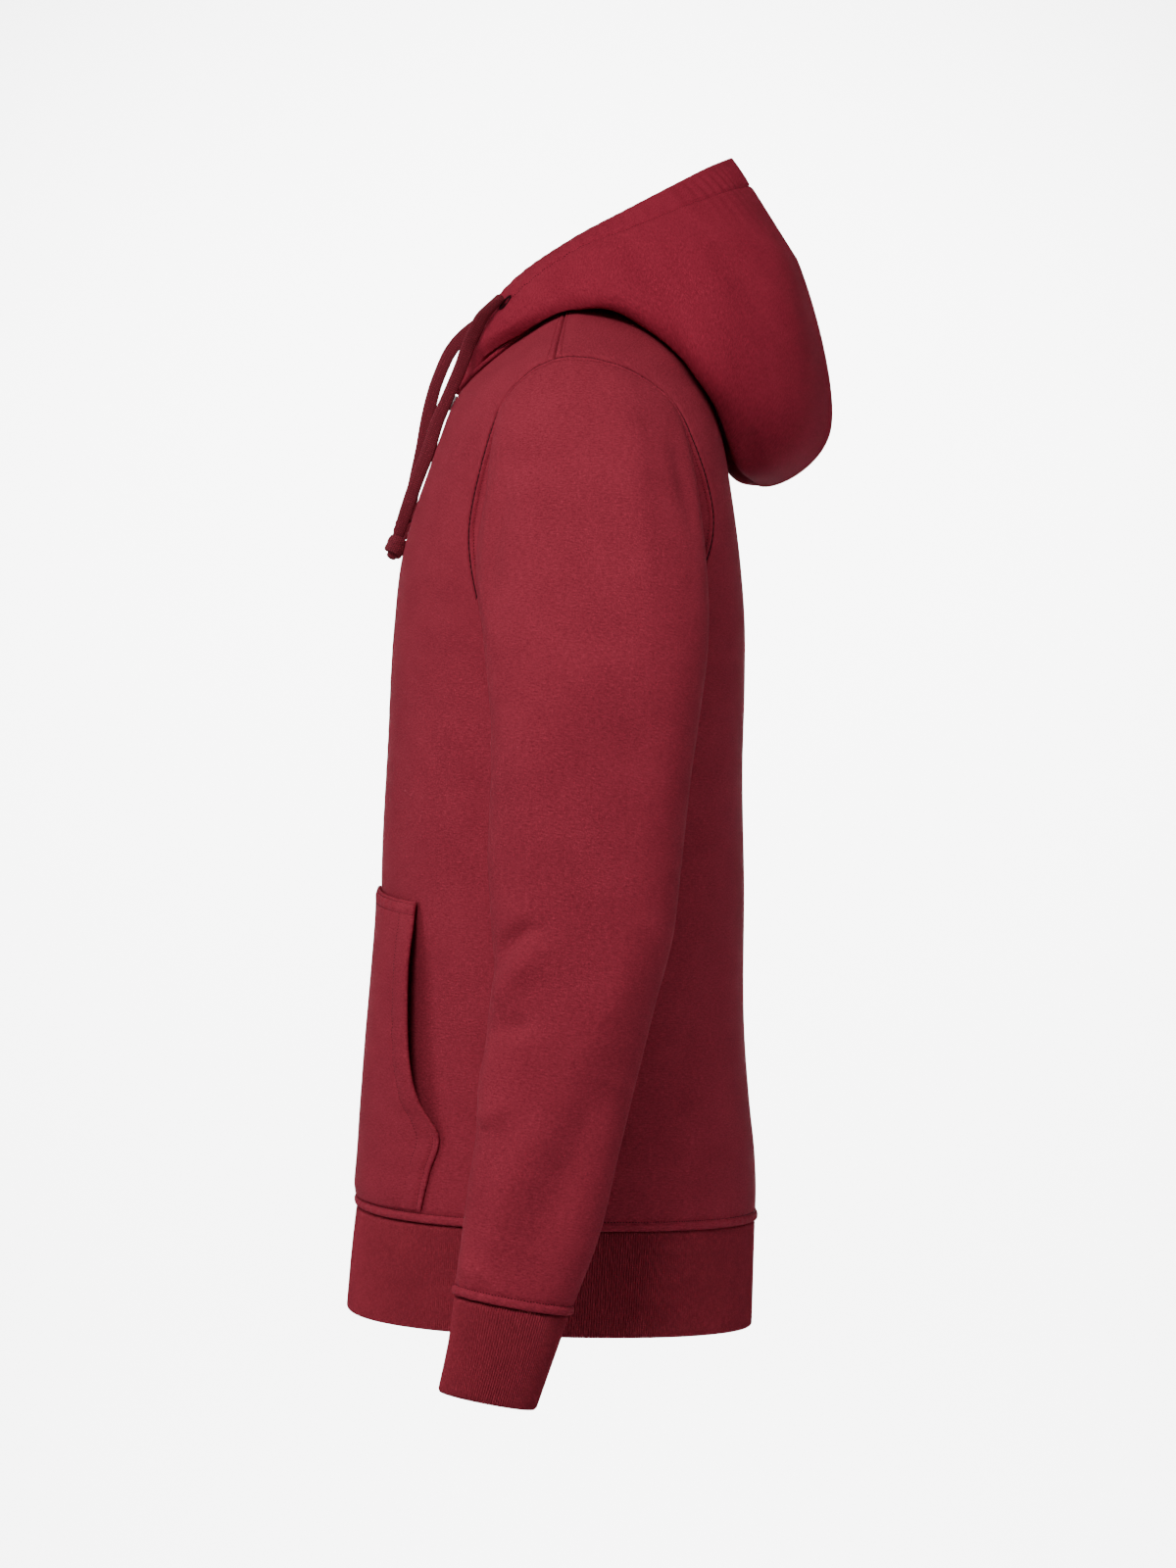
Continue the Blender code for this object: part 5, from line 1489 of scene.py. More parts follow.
@dataclass
class Ribs:
    """The hem band and the two cuffs, in one-by-one rib folded at the free edge."""

    finishes: Finishes
    hem_wales: int = 310
    cuff_wales: int = 136
    relief: float = 0.00046
    facing: float = 0.036
    sunk: float = 0.0005
    hem_cut: Cut = Cut((0.94, 0.076), None, "gathered", RIB_SLOT)
    cuff_cut: Cut = Cut((0.205, 0.067), None, "gathered", RIB_SLOT)

    def knit(self, cloth: Cloth) -> None:
        """Raises the wales of a piece, which run up its rows."""
        columns = cloth.points.shape[1]
        wave = np.resize(np.array(WALE), columns)
        cloth.relief += self.relief * wave[None]

    def hem(self) -> Cloth:
        """The hem band as cloth, from zip to zip."""
        first = float(TORSO.turn_at_x(HEM_SEAM[0], ZIP_EDGE))
        turns = np.linspace(first, HALF, 600)
        count = self.hem_wales * len(WALE)
        low = TORSO.line(turns, hem_edge(turns), count)
        high = TORSO.line(turns, hem_seam(turns) - SEAM_GAP, count)
        share = np.array([0.0, 0.006, 0.018, 0.04, 0.1, 0.25, 0.45, 0.65, 0.82, 0.93, 0.975, 0.992,
            1])
        points = low + (high - low) * share[:, None, None]
        points[..., 0] = np.where(points[..., 0] > 0, points[..., 0], 0)
        points[1:-1] = TORSO.onto(points[1:-1])
        points[:, 0, 0] = ZIP_EDGE + HALF_GAP
        points[:, -1, 0] = 0.0
        points = points - TORSO.normals_at(points) * self.sunk
        points = np.concatenate([points, flipped(points)[:, 1:]], axis=1)
        return Cloth(points, RIB)

    def cuff(self) -> Cloth:
        """The left cuff as cloth."""
        share = [0.0, 0.03, 0.08, 0.2, 0.35, 0.5, 0.65, 0.8, 0.92, 0.97, 1.0]
        heights = np.interp(share, [0, 1], WRIST.table.column("height")[[-1, 0]])
        turns = np.linspace(0, 2 * HALF, self.cuff_wales * len(WALE), endpoint=False)
        return Cloth(np.stack([WRIST.ring(height, turns) for height in heights]), RIB, True)

    def build(self) -> None:
        """Makes the hem band and the cuffs."""
        hem = self.hem()
        for edge in (LOW, FIRST, LAST):
            hem.fold_over(edge)
        # the ends are faced; the facing's edge shows as a soft line beside the zip
        facing = np.abs(np.abs(hem.points[..., 0]) - self.facing) * (hem.points[..., 1] < 0)
        hem.form -= 0.0011 * bell(facing, 0.0016) * (hem.points[..., 1] < 0)
        hem.raise_by(SEAM, HIGH)
        self.knit(hem)
        band = sewn(hem, "hem_band", self.finishes.rib, hem.points.shape[1] // 2, 6)
        self.hem_cut.dress(band, "hem_rib", "back_panel")
        cuff = self.cuff()
        cuff.fold_over(LOW)
        cuff.raise_by(SEAM, HIGH)
        self.knit(cuff)
        made, twin = pair(cuff, ("left_cuff", "right_cuff"), self.finishes.rib, 0, 6)
        self.cuff_cut.dress(made, "cuff_left", "left_sleeve")
        self.cuff_cut.dress(twin, "cuff_right", "right_sleeve")


# ---- hood ----
@dataclass
class Hood:
    """The hood down on the back: two halves, joined along the middle, with a cord casing."""

    finishes: Finishes
    creases: tuple[Crease, ...] = (
        Crease(((0.1217, -0.0928), (0.1191, -0.111), (0.1236, -0.1318)), 0.0026, 0.008),
        Crease(((0.0879, 0.0318), (0.1119, 0.0149), (0.1334, -0.0072)), 0.003, 0.017),
        Crease(((0.1236, 0.0123), (0.1437, -0.0136), (0.1606, -0.0461)), -0.0022, 0.01),
        Crease(((-0.015, 0.005), (0.025, 0.015), (0.06, 0.01)), 0.0016, 0.014),
    )
    neck_columns: int = 84
    fine: int = 11
    stand: float = 0.006
    clear: float = 0.0036
    casing: float = 0.023
    cut: Cut = Cut((0.33, 0.38), 0.08, "folded")
    rows_each: tuple[int, ...] = (1, 1, 2, 2, 2, 3)
    # the lines along which the hood folds, bulges, turns over and opens
    rails: Table = Table("share fold_x fold_y fold_z bulge_x bulge_y bulge_z over_x over_y over_z "
        "open_x open_y open_z",
        ((0.0, 0.004, -0.0764, -0.06, 0.004, -0.076, -0.0582, 0.004, -0.0748, -0.0555, 0.004,
        -0.0735, -0.052), (0.14, 0.044, -0.069, -0.0485, 0.046, -0.07, -0.04, 0.043, -0.0665,
        -0.027, 0.036, -0.06, -0.014),
        (0.28, 0.085, -0.046, -0.035, 0.092, -0.047, -0.025, 0.086, -0.043, -0.008, 0.068, -0.04,
        0.009), (0.44, 0.132, 0.006, -0.0165, 0.135, 0.004, -0.004, 0.118, 0.002, 0.02, 0.088,
        -0.002, 0.034),
        (0.6, 0.14, 0.044, -0.027, 0.147, 0.046, -0.012, 0.124, 0.043, 0.025, 0.088, 0.035, 0.054),
        (0.76, 0.13, 0.093, -0.079, 0.144, 0.106, -0.054, 0.112, 0.1, 0.027, 0.072, 0.068, 0.0725),
        (0.88, 0.086, 0.111, -0.118, 0.094, 0.151, -0.085, 0.07, 0.139, 0.023, 0.045, 0.091,
        0.0862), (1.0, 0.0, 0.1285, -0.1285, 0.0, 0.1768, -0.0895, 0.0, 0.1568, 0.019, 0.0, 0.1092,
        0.0972)))
    inwards: Array = field(init=False)

    def points(self) -> Array:
        """Outer points of the left half, from the neck seam to the opening edge."""
        front, back = SEAMS.neck(False, self.neck_columns), SEAMS.neck(True, self.neck_columns)
        seam = joined(front, back[::-1])
        spots = shares(len(seam))
        start, self.inwards, outwards = SEAMS.neck_ways(seam)
        seam = seam + outwards * HALF_GAP
        stand = seam + start * self.stand * np.clip(spots * 4, 0.35, 1)[:, None]
        rails = [curve_through(self.rails.column("share"),
            self.rails.line(f"{rail}_x {rail}_y {rail}_z"), spots) for rail in
            ("fold", "bulge", "over", "open")]
        under = TORSO.off((stand + rails[0]) / 2, self.clear)
        lines = np.stack([seam, stand, under, *rails])
        at = [0.0]
        for k, rows in enumerate(self.rows_each):
            at += [k + (n + 1) / (rows * self.fine) for n in range(rows * self.fine)]
        known = np.arange(len(lines), dtype=float)
        columns = [curve_through(known, lines[:, j], at) for j in range(len(seam))]
        points = np.stack(columns, axis=1)
        points[1:] = TORSO.off(points[1:], self.clear)
        points[0] = seam
        points[:, -1, 0] = HALF_GAP
        return points

    # the turned-in edge makes a casing; its row of stitches draws a groove
    casing_groove: Table = Table("distance lift", ((0.0, -0.001), (0.0003, -0.00052),
        (0.0008, -0.00015), (0.0014, 0.0), (0.006, 0.0006), (0.012, 0.0009), (0.018, 0.0007),
        (0.021, 0.0003), (0.0222, -0.0002), (0.023, -0.0009), (0.0238, -0.0004), (0.025, 0.0)))

    def cloth(self, creases: tuple[Crease, ...]) -> Cloth:
        """The left half as cloth."""
        cloth = Cloth(self.points(), HOOD_CLOTH)
        lines = (*FOLD_LINES, 0.0032, 0.006, 0.009, 0.012, 0.015, 0.018, 0.02)
        cloth.lined(high=(*lines, 0.021, 0.0222, 0.023, 0.0238, 0.025, 0.027),
            low=(0.0, 0.0004, 0.0009, 0.0014), last=(*CLOSE, 0.0024, 0.003, 0.0036))
        cloth.downs[0] = SEAMS.neck_ways(cloth.points[0])[1]
        cloth.downs[:, -1, 0] = 0.0
        cloth.downs = unit(cloth.downs)
        cloth.crease(creases)
        cloth.raise_by(self.casing_groove, HIGH)
        cloth.pucker(HIGH, self.casing - 0.008, 0.012, 0.0009, 0.0105)
        cloth.depth[-1] = cloth.thick - ROUNDED
        cloth.raised(low=SEAM, last=SEAM)
        return cloth

    def build(self) -> None:
        """Makes both halves."""
        box = SewingBox("hood_stitches")
        left = self.cloth(self.creases)
        box.row(left, HIGH, self.casing)
        box.row(left, LAST, 0.003)
        box.both_sides()
        box.finish(self.finishes.thread)
        right = self.cloth(mirrored(self.creases, 0.8))
        made = sewn(left, "hood_half_left", self.finishes.hood)
        twin = turned_over(sewn(right, "blank", self.finishes.hood), "hood_half_right")
        self.cut.dress(made, "hood_left", "back_panel")
        self.cut.dress(twin, "hood_right", "back_panel")


# ---- pockets ----
@dataclass
class Pocket:
    """The patch pockets on the fronts, open along the slanted side."""

    finishes: Finishes
    columns: int = 70
    rows: int = 90
    inner_top: float = -0.401
    sewn_off: float = 0.0011
    hem: float = 0.02
    cut: Cut = Cut((0.165, 0.215), 0.0305)
    edge: Table = Table("height x", ((-0.6145, 0.1436), (-0.59, 0.149), (-0.5627, 0.1555),
        (-0.545, 0.147), (-0.51, 0.139), (-0.46, 0.1345), (-0.41, 0.13)))
    off: Table = Table("height mouth middle", ((-0.6145, 0.0, 0.0), (-0.585, 0.0, 0.002),
        (-0.5627, 0.0006, 0.0035), (-0.535, 0.0075, 0.003), (-0.49, 0.0095, 0.0025),
        (-0.45, 0.008, 0.002), (-0.42, 0.0025, 0.001), (-0.4, 0.0, 0.0)))
    # two rows of stitches hold the top; one holds the hem of the mouth
    top_stitches: Table = Table("distance lift", ((0.0, -0.001), (0.0003, -0.0005),
        (0.0008, -0.0001), (0.0013, 0.0), (0.0018, -0.0003), (0.0024, 0.0001), (0.005, 0.0003),
        (0.008, 0.0), (0.0088, -0.0003), (0.0096, 0.0)))
    mouth_hem: Table = Table("distance lift", ((0.0, -0.001), (0.0003, -0.0005), (0.0008, -0.0001),
        (0.0014, 0.0001), (0.01, 0.0004), (0.019, 0.0001), (0.02, -0.0004), (0.021, 0.0)))

    def points(self) -> Array:
        """Outer points of the left pocket."""
        known = self.edge.column("height")
        edge_heights = np.linspace(known[0], known[-1], self.rows + 1)
        edge_x = self.edge.read("x", edge_heights)
        inner_heights = np.linspace(HEM_SEAM[0] + 0.0058, self.inner_top, self.rows + 1)
        share = shares(self.columns + 1)
        heights = inner_heights[:, None] * (1 - share) + edge_heights[:, None] * share
        x = (ZIP_EDGE + 0.0006) * (1 - share) + edge_x[:, None] * share
        points = TORSO.points(TORSO.turn_at_x(heights, x), heights)
        mouth = self.off.read("mouth", edge_heights)[:, None]
        middle = self.off.read("middle", edge_heights)[:, None]
        stand = self.sewn_off + middle * np.sin(share * HALF) + mouth * share**1.8
        inner = points + TORSO.normals_at(points) * stand[..., None]
        return inner + Cloth(inner, FLEECE).normals(inner) * FLEECE

    def cloth(self) -> Cloth:
        """The left pocket as cloth."""
        cloth = Cloth(self.points(), FLEECE)
        cloth.lined(high=tuple(self.top_stitches.column("distance")), low=FOLD_LINES,
            first=FOLD_LINES, last=(*FOLD_LINES, 0.004, 0.005, 0.006, 0.01, 0.019, 0.02, 0.021))
        heights = cloth.points[:, -1, 2]
        open_side = smooth_step(heights, -0.572, -0.552)[:, None]
        down = bell(cloth.distance(HIGH), 0.004)
        down += bell(cloth.distance(LOW), 0.006)
        down += bell(cloth.distance(LAST), 0.006) * (1 - open_side)
        cloth.form -= (self.sewn_off - 0.0002) * np.minimum(down, 1)
        cloth.relief -= 0.0007 * bell(cloth.distance(LOW), 0.005)
        # below its mouth the side is sewn down, and the stitches sink into it
        groove = bell(cloth.distance(LAST) - 0.005, 0.0011)
        cloth.relief -= 0.001 * groove * (1 - open_side)
        cloth.raise_by(self.top_stitches, HIGH)
        cloth.raise_by(self.mouth_hem, LAST, np.maximum(open_side, 0.3))
        cloth.pucker(HIGH, 0.005, 0.007, 0.0003, 0.013)
        cloth.pucker(LAST, 0.015, 0.012, 0.0004, 0.019)
        cloth.fold_over(FIRST)
        cloth.fold_over(LOW)
        cloth.depth[-1] = cloth.depth[:, -1] = FLEECE - ROUNDED
        return cloth

    def build(self) -> None:
        """Makes both pockets and their stitches."""
        box = SewingBox("pocket_stitches")
        cloth = self.cloth()
        heights = cloth.points[:, -1, 2]
        box.row(cloth, HIGH, 0.0018)
        box.row(cloth, HIGH, 0.0088)
        low = int(np.searchsorted(heights, -0.562))
        hem_low = int(np.searchsorted(heights, -0.585))
        box.row(cloth, LAST, self.hem, slice(hem_low, -8))
        box.row(cloth, LAST, 0.005, slice(1, low))
        box.both_sides()
        box.finish(self.finishes.thread)
        made, twin = pair(cloth, ("left_pocket", "right_pocket"), self.finishes.jersey)
        self.cut.dress(made, "pocket_left", "front_panel_left")
        self.cut.dress(twin, "pocket_right", "front_panel_right")


# ---- cords ----
@dataclass
class Braid:
    """A soft knitted tube swept along a line: wide one way, thin the other.

    Args:
        line: Points of its centreline.
        face: The way that its width lies, at each point.
        wide: Half its width at each point.
        thin: Half its thickness at each point.
    """

    line: Array
    face: Array
    wide: Array
    thin: Array
    wales: int = 14
    wale_lift: float = 0.00018
    squareness: float = 2.5

    def add_to(self, builder: MeshBuilder) -> None:
        """Adds the tube with rounded ends."""
        tangent = unit(np.gradient(self.line, axis=0))
        face = unit(square_to(self.face, tangent))
        side = np.cross(tangent, face)
        count = self.wales * 4
        turns = 2 * math.pi * np.arange(count) / count
        across, out = np.cos(turns), np.sin(turns)
        reach = rounded_square(across, out, self.squareness)
        across, out = across * reach, out * reach
        lift = self.wale_lift * np.abs(np.sin(turns * self.wales / 2))

        def ring(at: int, size: float, shift: Array | float) -> Array:
            """The section round a point of the line, at a size and moved by a shift."""
            flat = (self.wide[at] * size + lift) * across
            deep = (self.thin[at] * size + lift) * out
            return self.line[at] + shift + flat[:, None] * face[at] + deep[:, None] * side[at]

        rings = [ring(k, 1.0, 0.0) for k in range(len(self.line))]
        for size, beyond in ((0.94, 0.3), (0.75, 0.62), (0.35, 0.95)):
            shift = tangent * self.thin[:, None] * beyond
            rings = [ring(0, size, -shift[0]), *rings, ring(-1, size, shift[-1])]
        points = np.stack(rings)
        around = lengths(np.swapaxes(closed(points, 1), 0, 1)).T
        scale = around[:, -1:].max()
        around = around / np.maximum(around[:, -1:], 1e-9) * scale
        middle = (points[:, 0] + points[:, count // 2]) / 2
        along = np.broadcast_to(lengths(middle)[:, None], around.shape)
        flat = np.stack([around, along], axis=-1)
        numbers = builder.add_grid(points, flat, True)
        for ring, turned in ((0, True), (len(points) - 1, False)):
            centre = builder.add_points(points[ring].mean(axis=0)[None])[0]
            faces = []
            for k in range(count):
                pair = (numbers[ring, k], numbers[ring, k + 1])
                faces.append((centre, *(pair[::-1] if turned else pair)))
            builder.add_faces(np.array(faces), np.repeat(flat[ring, :1], 3 * count, axis=0))


@dataclass
class Drawcord:
    """One end of the hood's drawcord with its knot, from its eyelet down the chest."""

    finishes: Finishes
    name: str
    node: str
    route: Table
    knot: Point
    knot_node: str
    stands_out: float = 0.00135
    half_width: float = 0.0044
    half_thick: float = 0.0016
    ring_step: float = 0.0009
    knot_rings: int = 90

    def smooth_route(self) -> Array:
        """The solid's own centreline, finely."""
        points = self.route.line()
        known = shares(len(points))
        fine = curve_through(known, points, shares(300))
        count = int(lengths(fine)[-1] / self.ring_step)
        return curve_through(known, points, evenly(fine, count))

    def build(self) -> None:
        """Makes the cord and its knot."""
        route = self.smooth_route()
        tangent = unit(np.gradient(route, axis=0))
        side = np.sign(route[0, 0])
        face = unit(np.cross(LEFT, tangent))
        face = face * -np.sign(face[:, 1:2])
        share = shares(len(route))
        # the ribbon turns its flat more to the side as it comes off the hood
        turn = 0.42 * (1 - smooth_step(share, 0.0, 0.3)) + 0.1 * np.sin(share * 7.0)
        face = unit(face + LEFT * (turn * side)[:, None])
        wide = self.half_width * (0.72 + 0.28 * smooth_step(share, 0.0, 0.16))
        wide = wide * (1 - 0.12 * smooth_step(share, 0.93, 1.0)) * (1 + 0.05 * np.sin(share * 11))
        thin = self.half_thick * (1 + 0.35 * (1 - smooth_step(share, 0.0, 0.1)))
        line = route + face * self.stands_out
        builder = MeshBuilder()
        Braid(line, face, wide, thin).add_to(builder)
        made = builder.make(self.name, self.finishes.cord)
        dress(made, self.node, CORD_SLOT)
        tied = self.tie(line[-1], tangent[-1], side)
        dress(tied, self.knot_node, CORD_SLOT)
        tuple(self.route.rows[0])
        float(lengths(line)[-1])
        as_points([tuple(point) for point in line[::6]] + [tuple(line[-1])])

    def tie(self, end: Array, way: Array, side: float) -> Object:
        """The overhand knot: the cord wrapped round itself, and its short end."""
        middle = np.array(self.knot)
        down = unit(way)
        ahead = unit(np.cross(LEFT, down))
        ahead = ahead * -np.sign(ahead[1])
        out = LEFT
        builder = MeshBuilder()
        # the wrapped turns, tilted, nearly twice round
        count = self.knot_rings
        turns = np.linspace(-0.3, 3.4 * math.pi, count)
        rise = np.linspace(0.004, -0.0034, count) + 0.0012 * np.sin(turns)
        wrap = (middle + ahead * (0.0047 * np.cos(turns))[:, None] + out *
            (side * 0.0036 * np.sin(turns))[:, None] - down * rise[:, None])
        face = unit(down + 0.25 * ahead)[None] * np.ones((count, 1))
        swell = 1 - 0.25 * np.abs(np.linspace(-1, 1, count)) ** 6
        Braid(wrap, face, 0.0038 * swell, 0.0019 * swell, 12).add_to(builder)
        # the cord comes in at the top and its end looks out below
        known = [0.0, 0.35, 0.7, 1.0]
        stops = [end - down * 0.001, middle - down * 0.005 + ahead * 0.0006, middle + down * 0.002
            - ahead * 0.0004, middle + down * 0.0072 + ahead * 0.0008]
        core = curve_through(known, np.stack(stops), shares(40))
        face = (ahead + 0.15 * out * side)[None] * np.ones((40, 1))
        wide = np.interp(shares(40), [0, 0.25, 0.5, 0.8, 1],
            [0.0039, 0.0034, 0.003, 0.0036, 0.0034])
        Braid(core, face, wide, wide * 0.52, 12).add_to(builder)
        return builder.make(self.knot_node + "_tied", self.finishes.cord)


DRAWCORDS = (
    ("cord_end_left", "drawcord_left", Table("x y z", (
        (0.0829, -0.0482, -0.0066), (0.079, -0.0533, -0.0113), (0.0725, -0.0606, -0.019),
        (0.0665, -0.0655, -0.0285), (0.061, -0.0697, -0.0375), (0.057, -0.0752, -0.052),
        (0.054, -0.0826, -0.069), (0.0512, -0.0906, -0.0875), (0.0485, -0.0967, -0.1065),
        (0.046, -0.1026, -0.1213), (0.0435, -0.1084, -0.137), (0.041, -0.1134, -0.1515),
        (0.0385, -0.117, -0.1625)
    )), (0.0371, -0.1205, -0.171), "cord_knot_left"),
    ("cord_end_right", "drawcord_right", Table("x y z", (
        (-0.0829, -0.0482, -0.0066), (-0.0765, -0.053, -0.0088), (-0.069, -0.0585, -0.0112),
        (-0.0615, -0.0665, -0.0152), (-0.0555, -0.0758, -0.0232), (-0.0505, -0.0831, -0.0322),
        (-0.0475, -0.088, -0.0417), (-0.044, -0.0945, -0.059), (-0.041, -0.0992, -0.079),
        (-0.0375, -0.1028, -0.101), (-0.0345, -0.1078, -0.124), (-0.031, -0.1125, -0.148)
    )), (-0.03, -0.1167, -0.1558), "cord_knot_right"),
)


@dataclass
class Eyelet:
    """A buttonhole worked in thread round the cord's way out of the casing."""

    finishes: Finishes
    middle: Point = (0.0818, -0.0454, -0.0084)
    outwards: Point = (0.37, -0.8, 0.47)
    along: Point = (0.62, 0.54, 0.57)
    half_long: float = 0.0058
    half_wide: float = 0.0032
    thread: Thread = Thread(0.0026, 0.9, 0.0003)

    def build(self) -> None:
        """Makes both, each a close ring of satin stitches."""
        box = SewingBox("cord_eyelets")
        normal = unit(np.array(self.outwards))
        wide = unit(np.cross(normal, np.array(self.along)))
        long = np.cross(wide, normal)
        turns = np.linspace(0, 2 * math.pi, 73)[:-1, None]
        way = unit(long * np.cos(turns) * 1.15 + wide * np.sin(turns))
        middles = np.array(self.middle) + normal * 0.0004 + long * (np.cos(turns) * self.half_long)
        middles = middles + wide * (np.sin(turns) * self.half_wide)
        self.thread.lay(box.builder, middles, way, normal + way * 0)
        box.both_sides()
        box.finish(self.finishes.thread)


# ---- zip ----
@dataclass
class Zip:
    """Woven tapes with moulded teeth down the centre front; the box at the foot is made with the
    slider.
    """

    finishes: Finishes
    tape_inner: float = 0.0004
    tape_outer: float = 0.012
    tape_depth: float = 0.004
    pitch: float = 0.0025
    tooth: Point = (0.0026, 0.00155, 0.002)
    slider_height: float = -0.072
    slider_reach: float = 0.006
    # how far the teeth stand back from the middle and up out of the tape
    set_back: float = 0.00075
    stands_up: float = 0.0004
    cut: Cut = Cut((0.013, 0.64), slot=TAPE_SLOT)

    def heights(self) -> Array:
        """Heights down the tape."""
        return np.linspace(HEM_EDGE[0] + 0.002, FRONT_NECK - 0.0004, 200)

    def tape(self) -> Cloth:
        """The left tape as cloth."""
        heights = self.heights()[:, None]
        x = np.linspace(self.tape_inner, self.tape_outer, 9)[None]
        points = TORSO.points(TORSO.turn_at_x(heights, x), heights)
        cloth = Cloth(points - TORSO.normals_at(points) * self.tape_depth, ZIP_TAPE)
        cord = bell(np.arange(9) - 1, 0.9) * 0.0004
        cloth.relief += cord[None]
        return cloth

    def tooth_shape(self) -> tuple[Array, Array]:
        """One tooth with its head at +X, up the zip at +Y and out of it at +Z."""
        wide, high, deep = self.tooth
        rings = []
        for x, a, b in ((-0.55 * wide, 0.4, 0.78), (-0.5 * wide, 0.52, 1.0),
                (-0.05 * wide, 0.52, 1.0), (0.12 * wide, 0.34, 0.94), (0.3 * wide, 0.5, 0.96),
                (0.42 * wide, 0.44, 0.86), (0.47 * wide, 0.24, 0.6)):
            for up, out in ((-1, -1), (1, -1), (1, 1), (-1, 1)):
                rings.append((x, up * high * a, out * deep / 2 * b))
        faces = []
        for k in range(6):
            for j in range(4):
                a, b = 4 * k + j, 4 * k + (j + 1) % 4
                faces.append((a, b, b + 4, a + 4))
        faces += [(3, 2, 1, 0), (24, 25, 26, 27)]
        return np.array(rings), np.array(faces)

    def teeth(self) -> Object:
        """Teeth from both sides by turns, left out inside the slider."""
        top = self.slider_height - self.slider_reach
        heights = np.linspace(HEM_EDGE[0] + 0.012, FRONT_NECK - 0.001, 4000)
        line = TORSO.points(np.zeros(4000), heights)
        along = lengths(line)
        count = int(along[-1] / self.pitch * 2)
        at = np.interp(np.arange(count) * self.pitch / 2, along, heights)
        side = np.where(np.arange(count) % 2 == 0, 1.0, -1.0)
        keep = (at < top) | (at > self.slider_height + self.slider_reach)
        at, side = at[keep], side[keep]
        middles = TORSO.points(np.zeros(len(at)), at)
        out = unit(TORSO.normals(np.zeros(len(at)), at) * np.array([0.0, 1.0, 1.0]))
        across = -LEFT * side[:, None]
        up = np.cross(out, across)
        shape, faces = self.tooth_shape()
        middles = middles - out * (self.tape_depth + ZIP_TAPE / 2 - self.stands_up)
        middles = middles - across * self.set_back
        builder = MeshBuilder()
        builder.add_copies(shape, faces, middles, (across, up, out), at)
        made = builder.make("zip_teeth", self.finishes.teeth)
        alone(made)
        bpy.ops.object.shade_smooth_by_angle(angle=0.6)
        return made

    def build(self) -> None:
        """Makes the tapes and the teeth."""
        made, twin = pair(self.tape(), ("left_zip_tape", "right_zip_tape"), self.finishes.tape)
        self.cut.dress(made, "zip_tape_left", "front_panel_left")
        self.cut.dress(twin, "zip_tape_right", "front_panel_left")
        dress(self.teeth(), None, TAPE_SLOT)


# ---- metal ----
def alone(made: Object) -> None:
    """Leaves edit mode, with this object active and the only one selected."""
    if bpy.context.object and bpy.context.object.mode != "OBJECT":
        bpy.ops.object.mode_set(mode="OBJECT")
    bpy.ops.object.select_all(action="DESELECT")
    made.select_set(True)
    bpy.context.view_layer.objects.active = made


def named(name: str) -> Object:
    """The object that an operator has just made, with its name."""
    made = bpy.context.object
    made.name = made.data.name = name
    return made


def block(name: str, low: Point, high: Point) -> Object:
    """A box between two corners, in the slider's own places."""
    middle = [(a + b) / 2 for a, b in zip(low, high)]
    if bpy.context.object:
        alone(bpy.context.object)
    bpy.ops.mesh.primitive_cube_add(size=1.0, location=middle)
    made = named(name)
    alone(made)
    made.scale = [b - a for a, b in zip(low, high)]
    bpy.ops.object.transform_apply(location=True, rotation=True, scale=True)
    return made


def plate(name: str, xs: tuple[float, ...], ys: tuple[float, ...], z: float) -> Object:
    """A flat grid with its lines at these places across and up."""
    bpy.ops.mesh.primitive_grid_add(x_subdivisions=len(xs) - 1, y_subdivisions=len(ys) - 1,
        size=2.0, location=(0, 0, 0))
    made = named(name)
    for vertex in made.data.vertices:
        x, y, _ = vertex.co
        across = np.interp(x, np.linspace(-1, 1, len(xs)), xs)
        vertex.co = (across, np.interp(y, np.linspace(-1, 1, len(ys)), ys), z)
    return made


def pick(made: Object, test: Callable[[Vector], bool], kind: str = "FACE") -> None:
    """Goes into edit mode with the faces or edges chosen whose middle passes a test."""
    alone(made)
    bpy.ops.object.mode_set(mode="EDIT")
    bpy.ops.mesh.select_mode(type=kind)
    bpy.ops.mesh.select_all(action="DESELECT")
    bpy.ops.object.mode_set(mode="OBJECT")
    mesh = made.data
    for item in mesh.polygons if kind == "FACE" else mesh.edges:
        corners = [mesh.vertices[k].co for k in item.vertices]
        item.select = bool(test(sum(corners, Vector()) / len(corners)))
    bpy.ops.object.mode_set(mode="EDIT")


def modify(made: Object, kind: str, **settings: object) -> None:
    """Adds a modifier with these settings and applies it."""
    alone(made)
    modifier = made.modifiers.new(kind, kind)
    for key, value in settings.items():
        setattr(modifier, key, value)
    bpy.ops.object.modifier_apply(modifier=modifier.name)


def rounded(made: Object, bevel: float, segments: int = 3) -> Object:
    """Rounds every sharp edge and shades the piece."""
    modify(made, "BEVEL", width=bevel, segments=segments, limit_method="ANGLE")
    bpy.ops.object.shade_smooth_by_angle(angle=0.7)
    return made


def placed(made: Object, matrix: Matrix, material: Material) -> Object:
    """Puts a finished piece where it belongs, with its place in its mesh."""
    made.data.transform(matrix)
    made.data.materials.clear()
    made.data.materials.append(material)
    made.data.update()
    return made


